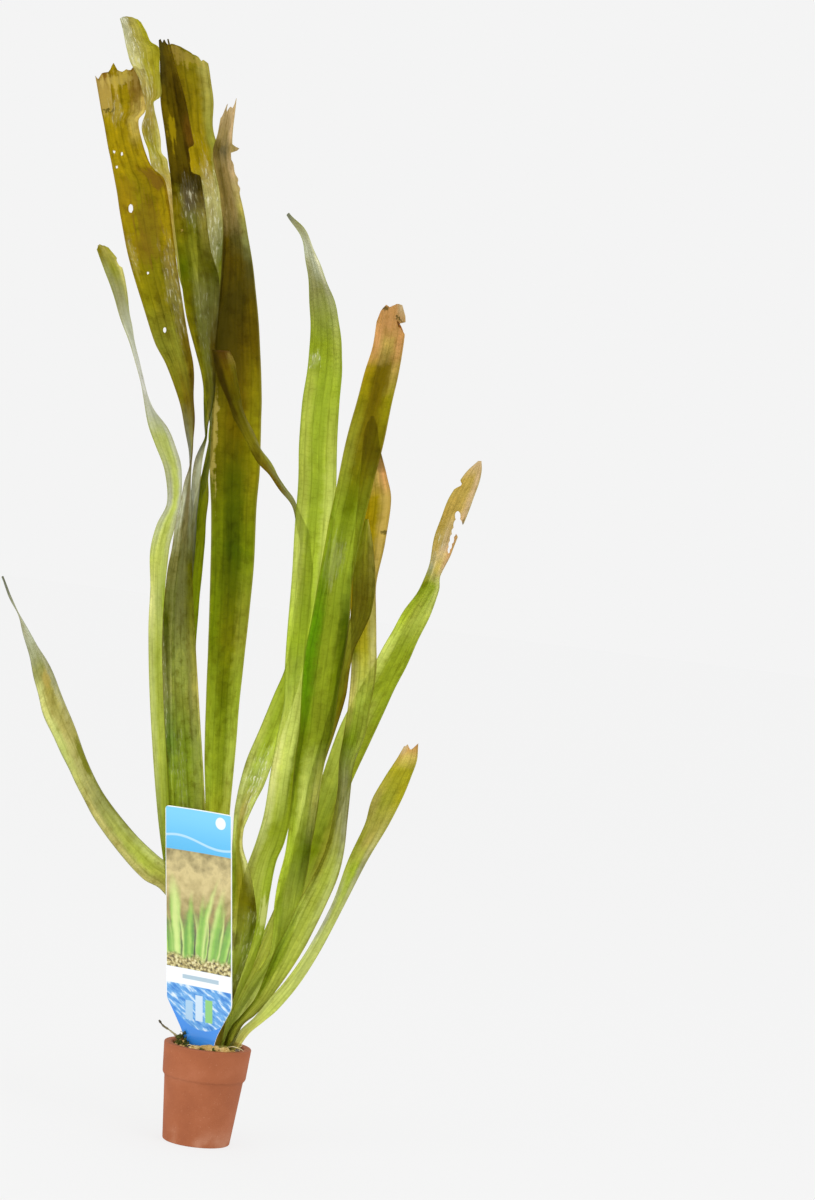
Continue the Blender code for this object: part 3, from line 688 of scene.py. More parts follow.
# %% [markdown]
# ## The leaves, from left to right
# Each leaf is its own piece, because each has its own path, age and damage. A leaf is grown
# from the rows of its borders, foot first: x and y of the left border, x and y of the right
# one, and the depth of both. A level row is shorter: both x, then y and the depth. Left and
# right are those of the foot, and change sides where a leaf turns over. Its look follows: tones
# at heights of the front view, one for the whole width or one for each lane, then stains and
# glints as ovals. Its shape comes last: the outline of the torn tip, the bites of the borders,
# the holes and the seed of its waves.

# %% The far left leaf
grow("leaf_far_left", [
    (192, 201, 1046, -2), (190, 1000, 202, 996, -3, -3), (185, 950, 200, 942, -4, -4),
    (176, 912, 190, 896, -6, -5), (160, 889, 174, 868, -9, -6), (143, 879, 158, 856, -13, -8),
    (120, 854, 134, 833, -18, -11), (95, 820, 107, 799, -23, -15), (80, 792, 93, 775, -26, -18),
    (61, 753, 75, 729, -30, -22), (43, 714, 59.6, 690, -33, -26), (35, 682, 46.8, 661, -35, -30),
    (27.8, 652, 35, 641.6, -37, -34), (20.2, 622.6, 22.6, 621.4, -39, -37),
    (9.4, 597, 11.2, 596, -40, -39), (0.8, 577, 2.2, 576, -41, -40),
], dict(
    tones={1046: "pale", 1000: "flax", 900: "flax", 860: "sallow light pale",
           800: "sallow tan tan", 740: "pale sallow sallow", 690: "cream flax dry",
           665: "tan tan dry", 638: "pewter frost frost", 612: "pewter frost pewter",
           588: "slate"},
    stains=[(98, 785, 3, 60, "deep", 0.6), (80, 754, 3.5, 26, "deep", 0.85),
            (45, 678, 4, 8, "ochre", 0.5)],
    veins=3, border="slate",
), seed=1)

# %% The twisted light leaf
grow("leaf_twisted_left", [
    (196, 206, 1046, 1.5), (188, 201, 1000, 2.5), (176, 190, 940, 4), (166, 180, 880, 5.5),
    (157.3, 172, 812, 8), (150.2, 170, 710, 11), (148.2, 632, 169, 634, 13, 14),
    (150, 590, 165, 592, 14, 17), (150, 552, 169, 549, 15, 19), (156.3, 525, 175, 524, 15, 21),
    (167, 502, 180, 500, 15, 23), (165, 472, 181.5, 474, 16, 25),
    (155.3, 445.5, 176, 448, 17, 27), (148.6, 425, 166.4, 427, 18, 29),
    (143.8, 402, 150, 403, 18, 31), (139.4, 376, 142, 376, 19, 32),
    (131, 348, 135.4, 347, 20, 32), (121.6, 322, 130.6, 321, 21, 31),
    (114.6, 298, 127.2, 297, 22, 30), (104.4, 271, 122, 268, 23, 29),
    (96.5, 248, 108, 247, 24, 28),
], dict(
    tones={1046: "pale", 860: "moss", 760: "pale light mid", 650: "pale light mid",
           # From 500 to 330 the pale greys, frost, pewter and silver, are painted sheen on the
           # turned neck.
           600: "cream pale fresh", 560: "lime lime pale", 500: "frost lime frost",
           440: "pale pale frost", 415: "frost pewter pewter", 380: "silver",
           330: "frost pewter frost", 305: "dry dry tan", 270: "tan dull hay",
           250: "bronze flax acid"},
    veins=4, mottle=0.35, border="dull",
), tip=[(96.4, 250.4), (98, 246), (100.4, 243.8), (104, 246), (108, 248)],
   bites=[("right", 264, 5, 4)], ripple=0.2, seed=2)

# %% The broad olive leaf
grow("leaf_broad_olive", [
    (198, 208, 1046, -6), (188, 205, 990, -7), (178, 204, 930, -8), (172, 205, 870, -9),
    (169, 805, 204.8, 805, -10, -9), (163.5, 705, 199, 705, -11, -9),
    (162, 640, 195.3, 643, -12, -10), (165.5, 584, 192.5, 588, -14, -9),
    (171.6, 547.6, 191.5, 550, -16, -8), (178.4, 509.8, 190.8, 510, -18, -7),
    (184.8, 482, 190.4, 483, -19, -6.5), (188.7, 468, 189.6, 468, -19.5, -6.5),
    (192.4, 448, 188, 446, -19, -7.5), (194, 421, 183.7, 422, -18, -9),
    (193.4, 392, 176.5, 392, -17, -10), (193, 363.7, 165.5, 364, -16, -11),
    (188.6, 341, 154.5, 342, -15, -12), (182, 300, 141, 300, -14, -13),
    (176, 260, 129, 260, -14, -13), (170.5, 216, 120.2, 216, -14, -13),
    (167.5, 194, 117, 194, -14, -13), (163.5, 178, 114, 178, -14, -13),
    (153.5, 169, 112.5, 170, -14, -13), (148.6, 161, 110.9, 161, -14, -13),
    (142.4, 143, 107.4, 145, -14, -13), (138.2, 120, 103.4, 122, -14, -13),
    (145, 111, 101.4, 112, -14, -13), (146, 88, 97.5, 90, -14, -13),
    (143.5, 65, 94.5, 73, -14, -13),
], dict(
    tones={1046: "pale", 980: "dull", 850: "deep sage dull", 780: "fresh spring lime",
           740: "sea fresh pale", 690: "tan lime hay", 620: "dark tan dull",
           # The frost, pewter and slate about the twist, at 500 and 450, paint its grey sheen.
           560: "sage sage deep", 500: "frost umber pewter", 450: "brown sage slate",
           400: "brown drab bronze", 340: "drab dull dull", 300: "bronze bronze mustard",
           240: "olive mustard olive", 150: "olive", 110: "straw olive olive",
           80: "rust olive rust"},
    stains=[(100, 92, 9, 22, "ochre", 0.7), (122, 80, 20, 9, "straw", 0.35),
            (154, 178, 6, 14, "rust", 0.8), (150, 230, 10, 40, "rust", 0.45),
            (128, 200, 8, 30, "rust", 0.35), (136, 90, 6, 26, "rust", 0.5),
            (108, 107, 7, 1.5, "peat", 0.8), (143, 250, 8, 20, "rust", 0.4),
            (190, 690, 2, 40, "tan", 0.4)],
    glints=[(175, 290, 8, 52, 0.5), (131, 250, 3, 26, 0.35), (116, 112, 6, 16, 0.4),
            (164, 690, 3, 60, 0.9), (180, 770, 8, 40, 0.4)],
    net_depth=0.65, mottle=0.85, border="rust", border_depth=0.35,
), tip=[(94.2, 73.5), (97, 80), (101.8, 73.5), (108, 71), (114, 62.2), (117, 70), (122, 71),
       (126, 69), (130, 71.5), (134, 66.3), (140, 70)],
   holes=[(114, 151, 1.2, 2.6), (121.7, 154, 1.1, 2.2), (116.6, 167, 1.2, 2.0),
         (130.6, 208.4, 2.3, 4.6), (130.4, 244, 1.0, 1.4), (133.5, 250, 1.2, 1.2),
         (147.8, 272.7, 1.1, 2.2), (164.5, 330, 1.7, 3.0), (154.3, 332.6, 0.9, 1.3)],
   ripple=0.2, seed=3)

# %% The light tall leaf
grow("leaf_light_tall", [
    (199, 209, 1046, 8), (190, 204, 1000, 9), (182, 202, 930, 11), (176, 200, 860, 13),
    (174, 198, 790, 15), (172, 192, 700, 18), (172, 620, 190, 620, 20, 22),
    (178, 560, 192, 560, 21, 26), (194, 505, 201, 505, 22, 31), (201.5, 478, 206.5, 478, 22, 32),
    (207, 458, 209.8, 458, 22, 33), (209.4, 440, 211.2, 440, 22, 34),
    (208, 404, 212, 404, 22, 33), (198, 350, 210, 350, 21, 28), (185, 302, 199, 302, 18, 22),
    (175, 255, 190, 255, 8, 14), (170, 226, 187, 226, 1, 8), (164.5, 190, 176, 190, -3, 4),
    (157.5, 176, 170, 176, -6, 0.5), (152.2, 167, 168, 167, -9.5, -4.5),
    (149.6, 159, 167.2, 159.5, -12, -6), (147, 149, 161, 152, -14, -8),
    (144, 138, 159.4, 138, -16, -11), (141.8, 124, 157, 120, -19, -14),
    (144.9, 111, 153.9, 107, -20.5, -16), (145, 102, 153.2, 101, -21.5, -17),
    (143.6, 95, 160, 95.5, -22, -17.5), (139.3, 80, 160.2, 80, -23.5, -18.5),
    (130.8, 64, 159.4, 62, -24, -19), (127.5, 51, 158.4, 48, -24, -19.5),
    (124.6, 39, 150.2, 42, -24, -20), (122, 29, 146, 31, -24, -20),
    (119.5, 18, 140.5, 21, -24, -20),
], dict(
    tones={1046: "pale", 900: "mid", 500: "mid", 320: "mid", 250: "flax", 200: "ochre",
           # The pale left lane near the tip, hay and pewter, is painted sheen of the crinkled,
           # folded tip.
           150: "acid acid hay", 110: "olive olive flax", 70: "hay acid acid",
           20: "pewter flax acid"},
    glints=[(134, 60, 9, 60, 0.9), (148, 120, 9, 50, 0.55), (160, 175, 8, 40, 0.7)],
    border="dull", border_depth=0.3,
), tip=[(119.2, 18.2), (122, 16.8), (127, 15.8), (133, 16.6), (137, 18.6), (140.5, 21)], seed=4)

# %% The dark tall leaf
grow("leaf_dark_tall", [
    (200, 210, 1046, 5), (192, 206, 1000, 5.5), (184, 204, 930, 6), (181, 203, 860, 6.5),
    (178, 200, 790, 7), (174.5, 194, 700, 7), (174.5, 190, 620, 6), (180, 560, 194, 558, 3, 6),
    (190.3, 505, 197.8, 502, -1, 6.5), (191.8, 476, 200.4, 474, -3, 6.5),
    (195, 460, 202.6, 458, -4.5, 6), (199.2, 450, 203.9, 449, -5.5, 6),
    (204.4, 439, 204.8, 439, -6, 6), (207.2, 424, 204, 424, -6, 5.5),
    (213, 404, 204, 404, -5.5, 5), (215.3, 385, 203, 385, -5.5, 3),
    (214.5, 350, 195.3, 350, -5.5, 0), (217.6, 315, 186, 316, -5, -1),
    (219, 280, 181, 278, -5, -2), (211, 252, 177, 248, -5, -2), (205.5, 212, 173, 212, -5, -2),
    (200.3, 176, 170.5, 178, -5, -2), (192, 135, 164.5, 132, -5, -2),
    (186, 104, 160.6, 102, -5, -2), (179.9, 81.6, 159.8, 79, -5, -2),
    (173, 57, 159.5, 55, -5, -2), (167.5, 38, 158.8, 38, -5, -2),
], dict(
    # The slate, dry and pewter greys from 505 to 450 paint the grey sheen of the twist.
    tones={1046: "pale", 900: "mid", 600: "deep", 505: "slate dry slate",
           470: "pewter pewter dry", 450: "slate dry pewter", 438: "dark",
           415: "bottle mustard dark", 350: "drab dull mustard", 300: "sage sage mustard",
           268: "deep dull moss", 220: "flax deep acid", 200: "drab brown mustard", 185: "peat",
           165: "brown", 130: "rust brown brown", 108: "brown brown drab", 80: "drab brown peat",
           50: "drab brown peat", 42: "peat"},
    stains=[(192, 142, 5, 6, "rust", 0.7), (170.5, 129, 4, 17, "olive", 0.85)],
    glints=[(192, 205, 12, 24, 0.6), (204, 330, 8, 50, 0.4)],
    mottle=0.85, border="peat", border_depth=0.3,
), tip=[(158.5, 40), (160, 38), (161.5, 43), (163, 39), (165, 43), (166.6, 38.5), (168, 46)],
   bites=[("left", 152, 9, 7), ("left", 167, 9, 8)], holes=[(181.9, 230, 1.2, 2.3)],
   ripple=0.2, seed=5)

# %% The olive tall leaf
grow("leaf_olive_tall", [
    (206, 216, 1046, 6.5), (198, 214, 1000, 7.5), (190, 212, 930, 9), (184, 208, 860, 10),
    (180, 203, 790, 11), (175, 197, 700, 12), (176, 650, 195.8, 648, 12, 12),
    (180, 600, 199.2, 601, 12, 12), (186, 558, 203.3, 558, 11, 12),
    (193, 510, 206.8, 510, 10, 14), (200.5, 478, 208.6, 478, 9, 16.5),
    (206.2, 458, 210.8, 458, 8, 18.5), (208.6, 440, 212, 440, 8, 19.5),
    (209, 424, 213, 424, 8.5, 20), (206, 380, 214, 380, 9, 18), (202, 330, 218, 330, 10, 15),
    (199, 290, 222, 290, 10, 14), (197, 250, 225, 250, 10, 14), (194, 200, 225, 200, 10, 14),
    (187, 160, 220, 158, 9, 13), (181, 130, 213, 128, 8, 12), (176, 100, 213, 100, 8, 12),
    (172, 75, 210.5, 78, 8, 12), (169, 44, 207.5, 63, 8, 12),
], dict(
    tones={1046: "pale", 900: "mid", 600: "moss", 450: "dark deep deep", 350: "sage", 300: "dull",
           250: "dull sage dark", 200: "dull sallow sallow", 165: "olive olive dull",
           60: "drab bronze flax"},
    stains=[(185, 60, 14, 7, "ochre", 0.3), (205, 345, 3, 40, "slate", 0.5)],
    glints=[(212, 215, 9, 60, 0.75)],
    border_depth=0.4,
), tip=[(169, 43.9), (170.7, 43.9), (180, 47), (190, 51.5), (196, 56), (199, 58), (200.5, 61),
       (203, 59.5), (207.4, 63.3)], seed=6)

# %% The long centre leaf
grow("leaf_long_centre", [
    (206, 217, 1046, 3.5), (200, 220, 1000, 4), (198, 224, 930, 4.5), (200, 227, 870, 5),
    (204.8, 810, 229.8, 811, 5, 5), (204.3, 235, 755, 5), (205.8, 239.5, 700, 5),
    (208.4, 247, 632, 5), (210.4, 560, 253.7, 565, 4, 5), (210.9, 510, 256.3, 507, 4, 5),
    (209.6, 470, 259.6, 470, 3, 5), (211.6, 420, 261, 420, 3, 5), (212.2, 398, 261.6, 398, 3, 5),
    (214, 333, 259.3, 335, 3, 5), (218, 300, 256.3, 298, 3, 5), (221.5, 262, 252.5, 265, 3, 5),
    (222.5, 224, 246, 225, 3, 5), (219.5, 194, 239.4, 194, 3, 5), (214.5, 168, 234, 170, 3, 5),
    (212.5, 150, 232, 150, 3, 5), (217.5, 133, 232.5, 133, 3, 4), (222.5, 110, 235, 110, 3, 4),
    (228, 98, 236, 98, 3, 4),
], dict(
    tones={1046: "pale", 1000: "acid", 880: "acid", 780: "fresh mid light", 700: "mid moss fresh",
           640: "moss deep dull", 550: "moss bottle moss", 480: "deep dark mustard",
           420: "bronze drab mustard", 350: "peat brown drab", 300: "peat peat brown",
           262: "brown brown bark", 240: "brown bark sage", 210: "khaki khaki flax",
           168: "khaki khaki husk", 148: "khaki umber khaki", 135: "khaki khaki husk",
           100: "husk"},
    stains=[(216, 146, 9, 9, "brown", 0.6), (213, 440, 2, 60, "straw", 0.5),
            (226, 200, 4, 40, "brown", 0.5), (226, 360, 9, 50, "peat", 0.5)],
    veins=6, mottle=0.7, border="flax", border_depth=0.4,
), tip=[(221, 118), (223, 114), (226, 112), (228.4, 100), (230, 107), (232, 108), (234, 105),
       (235.9, 97), (237, 104)],
   bites=[("right", 148.6, 4, -13), ("right", 156, 6, 3), ("right", 178, 6, -5),
         ("right", 187, 6, -4)], seed=7)

# %% The crossing leaf
grow("leaf_crossing", [
    (213, 221, 1046, -5.8), (212.5, 1025, 226, 1020, -6.5, -6.5),
    (214, 1000, 232.5, 1000, -7.5, -7.2), (218, 975, 241, 975, -8.5, -8),
    (222, 950, 249.5, 950, -9.5, -8.5), (226, 920, 256, 920, -10, -9),
    (229, 895, 254.5, 897, -10, -9.5), (231, 868, 248.7, 868, -10, -9.5),
    (232, 845, 242.5, 847, -10, -7.5), (233, 828, 243.2, 830, -9, -5),
    (233.8, 815, 247.4, 819, -8, -4), (236, 800, 255, 802, -6, -2), (239.5, 783, 264, 785, -4, 0),
    (248, 755, 273, 760, -1, 2), (260, 728, 281, 735, 1, 3), (270, 703, 290, 710, 2, 4),
    (283, 673, 300, 678, 3, 5), (291, 640, 307, 642, 3, 6), (296, 600, 311, 600, 3, 7),
    (299, 560, 312, 560, 2, 8), (298, 530, 306, 527, 0, 9), (291.5, 507, 296, 505, -1, 9),
    (280, 489, 285, 487, -2, 8), (270, 477, 275, 471, -3, 6), (259.4, 464, 265, 455, -4, 3),
    (245, 440, 255, 437, -5, -1), (236, 422, 247.5, 420, -6, -2),
    (229.8, 407.6, 241, 403, -7, -3), (221.6, 387, 237.7, 380, -8, -4),
    (215.6, 369, 235.5, 366, -8.5, -5), (211.5, 350, 229.5, 351, -8.5, -5),
], dict(
    tones={1046: "orange ochre flax", 1010: "drab", 950: "flax lime mid", 900: "mid acid bronze",
           860: "mid dull cream", 835: "lime dull hay", 810: "pale flax lime",
           780: "pale fresh lime", 730: "light fresh spring", 690: "fresh fresh light",
           600: "deep", 520: "deep", 500: "sage", 485: "drab sage dull", 462: "drab bronze dull",
           440: "acid acid sallow", 400: "brown mustard mustard", 370: "brown olive acid",
           354: "brown rust straw"},
    stains=[(233, 940, 4, 10, "brown", 0.6), (226, 352, 8, 5, "rust", 0.8)],
    glints=[(257, 777, 8, 28, 0.95), (247, 808, 5, 16, 0.6), (253, 917, 6, 13, 1.0),
            (247, 948, 7, 22, 1.0), (240, 978, 7, 20, 1.0)],
    veins=3, border="peat", border_depth=0.35,
), seed=8)

# %% The bright centre leaf
grow("leaf_bright_centre", [
    (214, 222, 1046, -2.5), (221, 1010, 234, 1008, -3, -3), (230, 970, 252, 968, -3.5, -3.5),
    (236, 264, 930, -4), (240, 890, 270, 892, -4.2, -4.2), (247.6, 864, 276, 862, -4.4, -4.4),
    (256, 841, 284, 843, -4.6, -4.6), (264, 813, 291, 815, -4.6, -4.6),
    (271, 768, 298, 768, -4.6, -4.4), (277, 736, 304, 736, -4.6, -4.2),
    (284, 700, 311, 700, -4.5, -4), (284.5, 671, 316, 671, -4.5, -4),
    (287, 632, 322, 632, -4.5, -4), (291.6, 577.6, 328, 577, -4.5, -4),
    (294.8, 523, 333, 523, -4.5, -4), (297.8, 485.7, 336, 487, -4, -3),
    (298.8, 445, 336.8, 447, -3, -2), (301.8, 404, 339, 406, -1, 0),
    (307, 369.4, 341.8, 371, 1, 3), (309.8, 340, 341, 342, 3, 6), (309.5, 305, 335.5, 306, 6, 9),
    (306, 262, 318.5, 262, 9, 12), (300.5, 237, 306.5, 233, 11, 13),
    (286.5, 214.5, 289, 212.5, 14, 15),
], dict(
    tones={1046: "cream", 980: "light", 930: "deep mid fresh", 880: "dull light fresh",
           830: "pale mid mid", 760: "cream lime moss", 700: "lime lime light",
           640: "spring spring fresh", 560: "lime spring lime", 500: "light fresh lime",
           440: "light fresh light", 390: "light fresh fresh", 345: "mid mid light",
           # At 262 and 250 the glint in the right lane is a painted highlight.
           290: "sage sage dry", 262: "dry pewter glint", 250: "frost pewter glint",
           225: "dry dry sage", 213: "slate"},
    stains=[(264, 914, 6, 20, "cream", 0.5), (288, 538, 5, 22, "deep", 0.0)],
    glints=[(314, 361, 4, 9, 1.0), (300, 780, 3, 60, 0.4)],
    net_depth=0.6, mottle=0.3, border="mid", border_depth=0.6,
), seed=9)

# %% The leaf with the orange end
grow("leaf_orange_tip", [
    (218, 227, 1046, -4), (223.5, 235, 1029, -4.2), (233, 1011, 247, 1012, -4.6, -4.4),
    (251, 980, 267, 983, -5.2, -4.8), (268, 955, 284, 957, -5.8, -5),
    (272.5, 930, 293, 932, -6, -5), (274, 905, 300, 906, -6.2, -5),
    (278, 880, 305, 882, -6.5, -5.2), (284.5, 855, 309.5, 857, -7, -5.8),
    (288, 831, 313, 830, -7.4, -6.4), (291.5, 795, 318.5, 797, -8, -7),
    (294.8, 760, 325, 760, -8.6, -7.8), (299, 729, 332.8, 729, -9, -8.4),
    (301.5, 686, 339.5, 685, -9.5, -9), (304.6, 653.5, 345, 655, -10, -9.5),
    (311, 621, 349.3, 622, -10, -9.5), (318.7, 577.6, 352.3, 580, -10, -9.5),
    (328.4, 523.4, 362, 530, -10, -9), (338.6, 475.5, 374, 480, -10, -9),
    (345.7, 440.8, 383, 445, -10, -9), (355.9, 404, 391.5, 404, -10, -9),
    (364, 373.5, 398.5, 373, -10, -9), (372.2, 347, 403.3, 345, -10, -9),
    (376.3, 322.4, 405, 326, -10, -8), (380, 307, 404.8, 306, -10, -8),
], dict(
    tones={1046: "pale", 950: "lime mid lime", 900: "spring lime lime", 850: "spring fresh moss",
           800: "mid lime cream", 740: "moss mid mid", 680: "leaf mid moss",
           620: "leaf mid bottle", 560: "fresh", 510: "fresh moss fresh",
           450: "dull bronze bronze", 400: "mustard drab mustard", 370: "olive brown ochre",
           345: "orange ochre orange", 328: "orange", 308: "orange orange husk"},
    stains=[(391, 322, 16, 18, "rust", 0.28), (385, 308, 4, 3, "peat", 0.8),
            (384, 376, 6, 17, "drab", 0.8), (399, 320.5, 6, 1.3, "peat", 0.8),
            # The pale stain and faint glints about (333, 560) paint a soft sheen.
            (333, 560, 9, 26, "dry", 0.2)],
    glints=[(332, 560, 9, 30, 0.12)],
    mottle=0.5, border="ochre", border_depth=0.25,
), tip=[(377, 322), (380, 311), (383, 307), (386, 305), (389, 307), (392, 305.5), (397, 303),
       (402, 306), (405, 316)], bites=[("right", 324, 3.5, 6), ("right", 330, 4, 2)], seed=10)

# %% The ochre leaf behind it
grow("leaf_ochre_tip", [
    (222, 232, 1046, -5.5), (230, 1028, 242, 1026, -5.9, -5.9),
    (243, 1013, 256, 1014, -6.3, -6.3), (255, 270, 998, -6.8), (265, 287, 975, -7.4),
    (275, 303, 950, -8), (286.5, 314.5, 928, -8.5), (298.6, 902.4, 327, 902, -9, -9),
    (313, 338, 876, -9), (325, 344, 850, -8), (333, 817, 347.5, 818, -6.5, -7),
    (337.5, 790, 350.5, 790, -5, -6), (339, 762, 354, 764, -3.5, -5),
    (343.5, 735, 364, 737, -3, -4), (348, 705, 370, 707, -2.5, -3),
    (351, 670, 376, 670, -2.5, -3), (351, 640, 376.3, 640, -2, -3),
    (350.5, 610, 375.7, 610, -2, -3), (351, 580, 376.5, 582, -2, -3),
    (354, 540, 385, 542, -2, -3), (357, 505, 390.9, 500, -2, -2), (360, 475, 386.5, 475, -3, -2),
    (362.5, 445, 379.5, 447, -4, -3), (366, 426, 377, 426, -4, -3),
    (370.5, 416, 373.5, 416, -4, -3.5),
], dict(
    tones={1046: "peat dull peat", 960: "fresh light light", 900: "lime light pale",
           870: "dull light pale", 830: "dull tan dry", 780: "sage dry tan",
           # The hay of the left lane at 700, with the glints about (366, 760), paints a pale
           # streak of wet shine.
           740: "moss fresh lime", 700: "hay lime light", 650: "deep acid sallow",
           610: "olive olive flax", 540: "olive olive ochre", 500: "olive olive ochre",
           475: "ochre ochre orange", 455: "brown", 418: "brown"},
    stains=[(384, 535, 2.5, 3, "peat", 0.8)],
    glints=[(366, 760, 6, 40, 0.6)],
    net_depth=0.65, mottle=0.5, border="rust",
), seed=11)

# %% The hidden brown leaf
grow("leaf_hidden_brown", [
    (219, 227, 1046, -1), (225, 236, 1020, -1), (240, 254, 990, -1), (256, 273, 955, -1.2),
    (270, 288, 920, -1.4), (283, 301, 880, -1.6), (295, 312, 840, -2),
    (304, 805, 318, 805, -3, -2.5), (311, 772, 322, 772, -4.4, -3.4),
    (322, 735, 333.6, 735, -5, -4), (333, 697, 345.5, 697, -6, -5.4),
    (337, 672, 349.5, 670, -6.5, -5.8), (342, 650, 354, 650, -6.8, -6),
    (347, 632, 362.5, 632, -6.8, -6), (351, 612, 371, 612, -6.8, -5.8),
    (352.5, 580, 375, 582, -6.8, -5.8), (355.7, 554.8, 373.5, 553, -6.6, -5.6),
    (360, 537.6, 371.5, 536, -6.4, -5.4), (365.5, 519, 368, 519, -6, -5.4),
], dict(
    tones={1046: "pale", 950: "cream", 800: "dull", 700: "deep deep drab", 600: "dull",
           519: "fresh light cream"},
    veins=4, border="brown",
), seed=12)

# %% The torn leaf on the right
grow("leaf_torn_right", [
    (217, 226, 1046, 0.5), (222, 1020, 235, 1022, 0.6, 0.6), (236, 990, 252, 994, 0.8, 0.8),
    (252, 955, 273, 958, 1, 1), (268, 922, 293, 925, 1, 1), (284, 885, 312, 888, 1.2, 1.2),
    (297, 850, 327, 853, 1.5, 1.5), (309, 815, 338, 818, 2, 2), (322, 776, 352, 781, 2.5, 3),
    (335, 738, 371, 740, 3, 4), (345.5, 714, 382, 716, 3, 5), (361, 686, 395, 688, 3, 6),
    (376, 660, 408, 662, 3, 7), (389, 636, 419, 638, 4, 9), (404.3, 610, 431, 612, 6, 12),
    (419.5, 588, 439.2, 590, 8, 16), (427, 573, 439.5, 575, 10, 18), (431, 552, 451, 554, 12, 18),
    (438, 525, 461.5, 527, 14, 19), (448, 500, 472, 502, 16, 20),
    (458.5, 482, 478.5, 484, 18, 21), (467, 471, 481, 471, 20, 22),
    (478.5, 461, 481, 461, 22, 22.5),
], dict(
    tones={1046: "pale", 950: "light", 850: "moss moss dull", 720: "light light mid",
           690: "light mid mid", 650: "lime mid mid", 620: "spring light light",
           585: "moss fresh pale", 577: "dull sallow sallow", 568: "dry straw husk",
           550: "ochre husk orange", 510: "ochre ochre husk", 480: "ochre ochre husk",
           462: "husk"},
    stains=[(440, 535, 5, 18, "olive", 0.4), (462, 521, 2, 4, "peat", 0.6),
            (424, 566, 5, 14, "rust", 0.3), (420, 584, 6, 8, "deep", 0.6)],
    glints=[(438, 545, 8, 26, 0.5)],
    mottle=0.55, border="dull", border_depth=0.4,
), bites=[("left", 485.5, 4, 4.5), ("right", 529, 6, 5)],
   holes=[(457.5, 516, 3, 5), (457.8, 525.5, 4.8, 7), (453.6, 532, 2.4, 5), (451.8, 539, 2.4, 5),
         (450, 545, 2.0, 4.5), (448.6, 550, 1.4, 3.5)], seed=13)

# %% The short leaf on the right
grow("leaf_short_right", [
    (226, 237, 1046, -7), (239, 1031, 248.5, 1034, -7.5, -7.5),
    (253.8, 1017.5, 264, 1021, -8, -8), (266, 1002, 278, 1009, -8.5, -8.5),
    (285, 981, 299, 984, -9.5, -9.5), (307, 949.7, 320, 951, -11, -11.5),
    (331.3, 905, 343.8, 906, -13, -15), (348, 860, 367, 861, -16, -19),
    (364.9, 823.4, 389, 824, -19, -23), (372, 799, 402, 798.7, -21, -25),
    (384.8, 777, 410.8, 777, -23, -27), (397, 758, 417, 760, -25, -28),
    (406, 743, 418, 743, -26, -28),
], dict(
    tones={1046: "tan flax hay", 1010: "pale lime lime", 970: "lime pale pale",
           920: "pewter pale pale", 870: "light fresh dry", 840: "dull flax sallow",
           800: "flax dull acid", 770: "acid", 757: "ochre straw straw",
           746: "husk orange orange"},
    veins=4, mottle=0.4, border="dull", border_depth=0.4,
), tip=[(406, 746), (407.5, 743.4), (410.8, 750), (417.7, 743.4)], seed=14)

# %% [markdown]
# ## The clay pot
# The pot is thrown clay with a thick rim band, fired without glaze. A turned shape is best made
# by spinning half of its outline round the upright axis. The corners are rounded afterwards by a
# bevel, so that the outline stays a short list of sizes, the same ones as in the solid.

# %% Helpers for solid pieces
SKEW_AXIS = Vector((0.8, 0.5, 0.3))


def in_order(bm):
    """Sorts points and faces by place, because some operators leave them in any order."""
    bm.verts.sort(key=lambda vert: vert.co.dot(SKEW_AXIS))
    bm.faces.sort(key=lambda face: face.calc_center_median().dot(SKEW_AXIS))


def place_piece(name, bm, finish, slot, *replaced):
    """Turns a finished bmesh into a piece of the plant, with its finish; slot is not used."""
    in_order(bm)
    piece = mesh_object(name, bm)
    for material in finish if isinstance(finish, list) else [finish]:
        piece.data.materials.append(material)
    piece.data.shade_smooth()
    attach(piece, "root")
    if replaced:
        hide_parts(*replaced)
    print(name, "faces", len(piece.data.polygons))
    return piece


def bevelled(bm, geom, offset, segments, affect="EDGES"):
    bmesh.ops.bevel(bm, geom=geom, offset=offset, affect=affect, segments=segments,
                    profile=0.5, material=-1)


def face_outwards(bm):
    bmesh.ops.recalc_face_normals(bm, faces=bm.faces)


def close_ends(bm):
    bmesh.ops.holes_fill(bm, edges=[e for e in bm.edges if e.is_boundary])
    face_outwards(bm)


def drawn_on(bm, edges):
    """Draws a ring on by extrude, and hands back its points and its edges."""
    grown = bmesh.ops.extrude_edge_only(bm, edges=edges)["geom"]
    ring = [item for item in grown if isinstance(item, bmesh.types.BMVert)]
    edges = [item for item in grown if isinstance(item, bmesh.types.BMEdge)
             and all(v in grown for v in item.verts)]
    return ring, edges


# %% Spin the pot
POT_HEIGHT = 50 * MM
RIM_HEIGHT = 16 * MM
RIM_TOP_RADIUS = 22.5 * MM
RIM_BOTTOM_RADIUS = 21.4 * MM
BODY_TOP_RADIUS = 20.3 * MM
BASE_RADIUS = 17.25 * MM
WALL = 4 * MM
FLOOR_THICKNESS = 5 * MM
SPIN_STEPS = 128
CORNER_ROUNDING = 0.8 * MM
SHARP_ANGLE = math.radians(35)

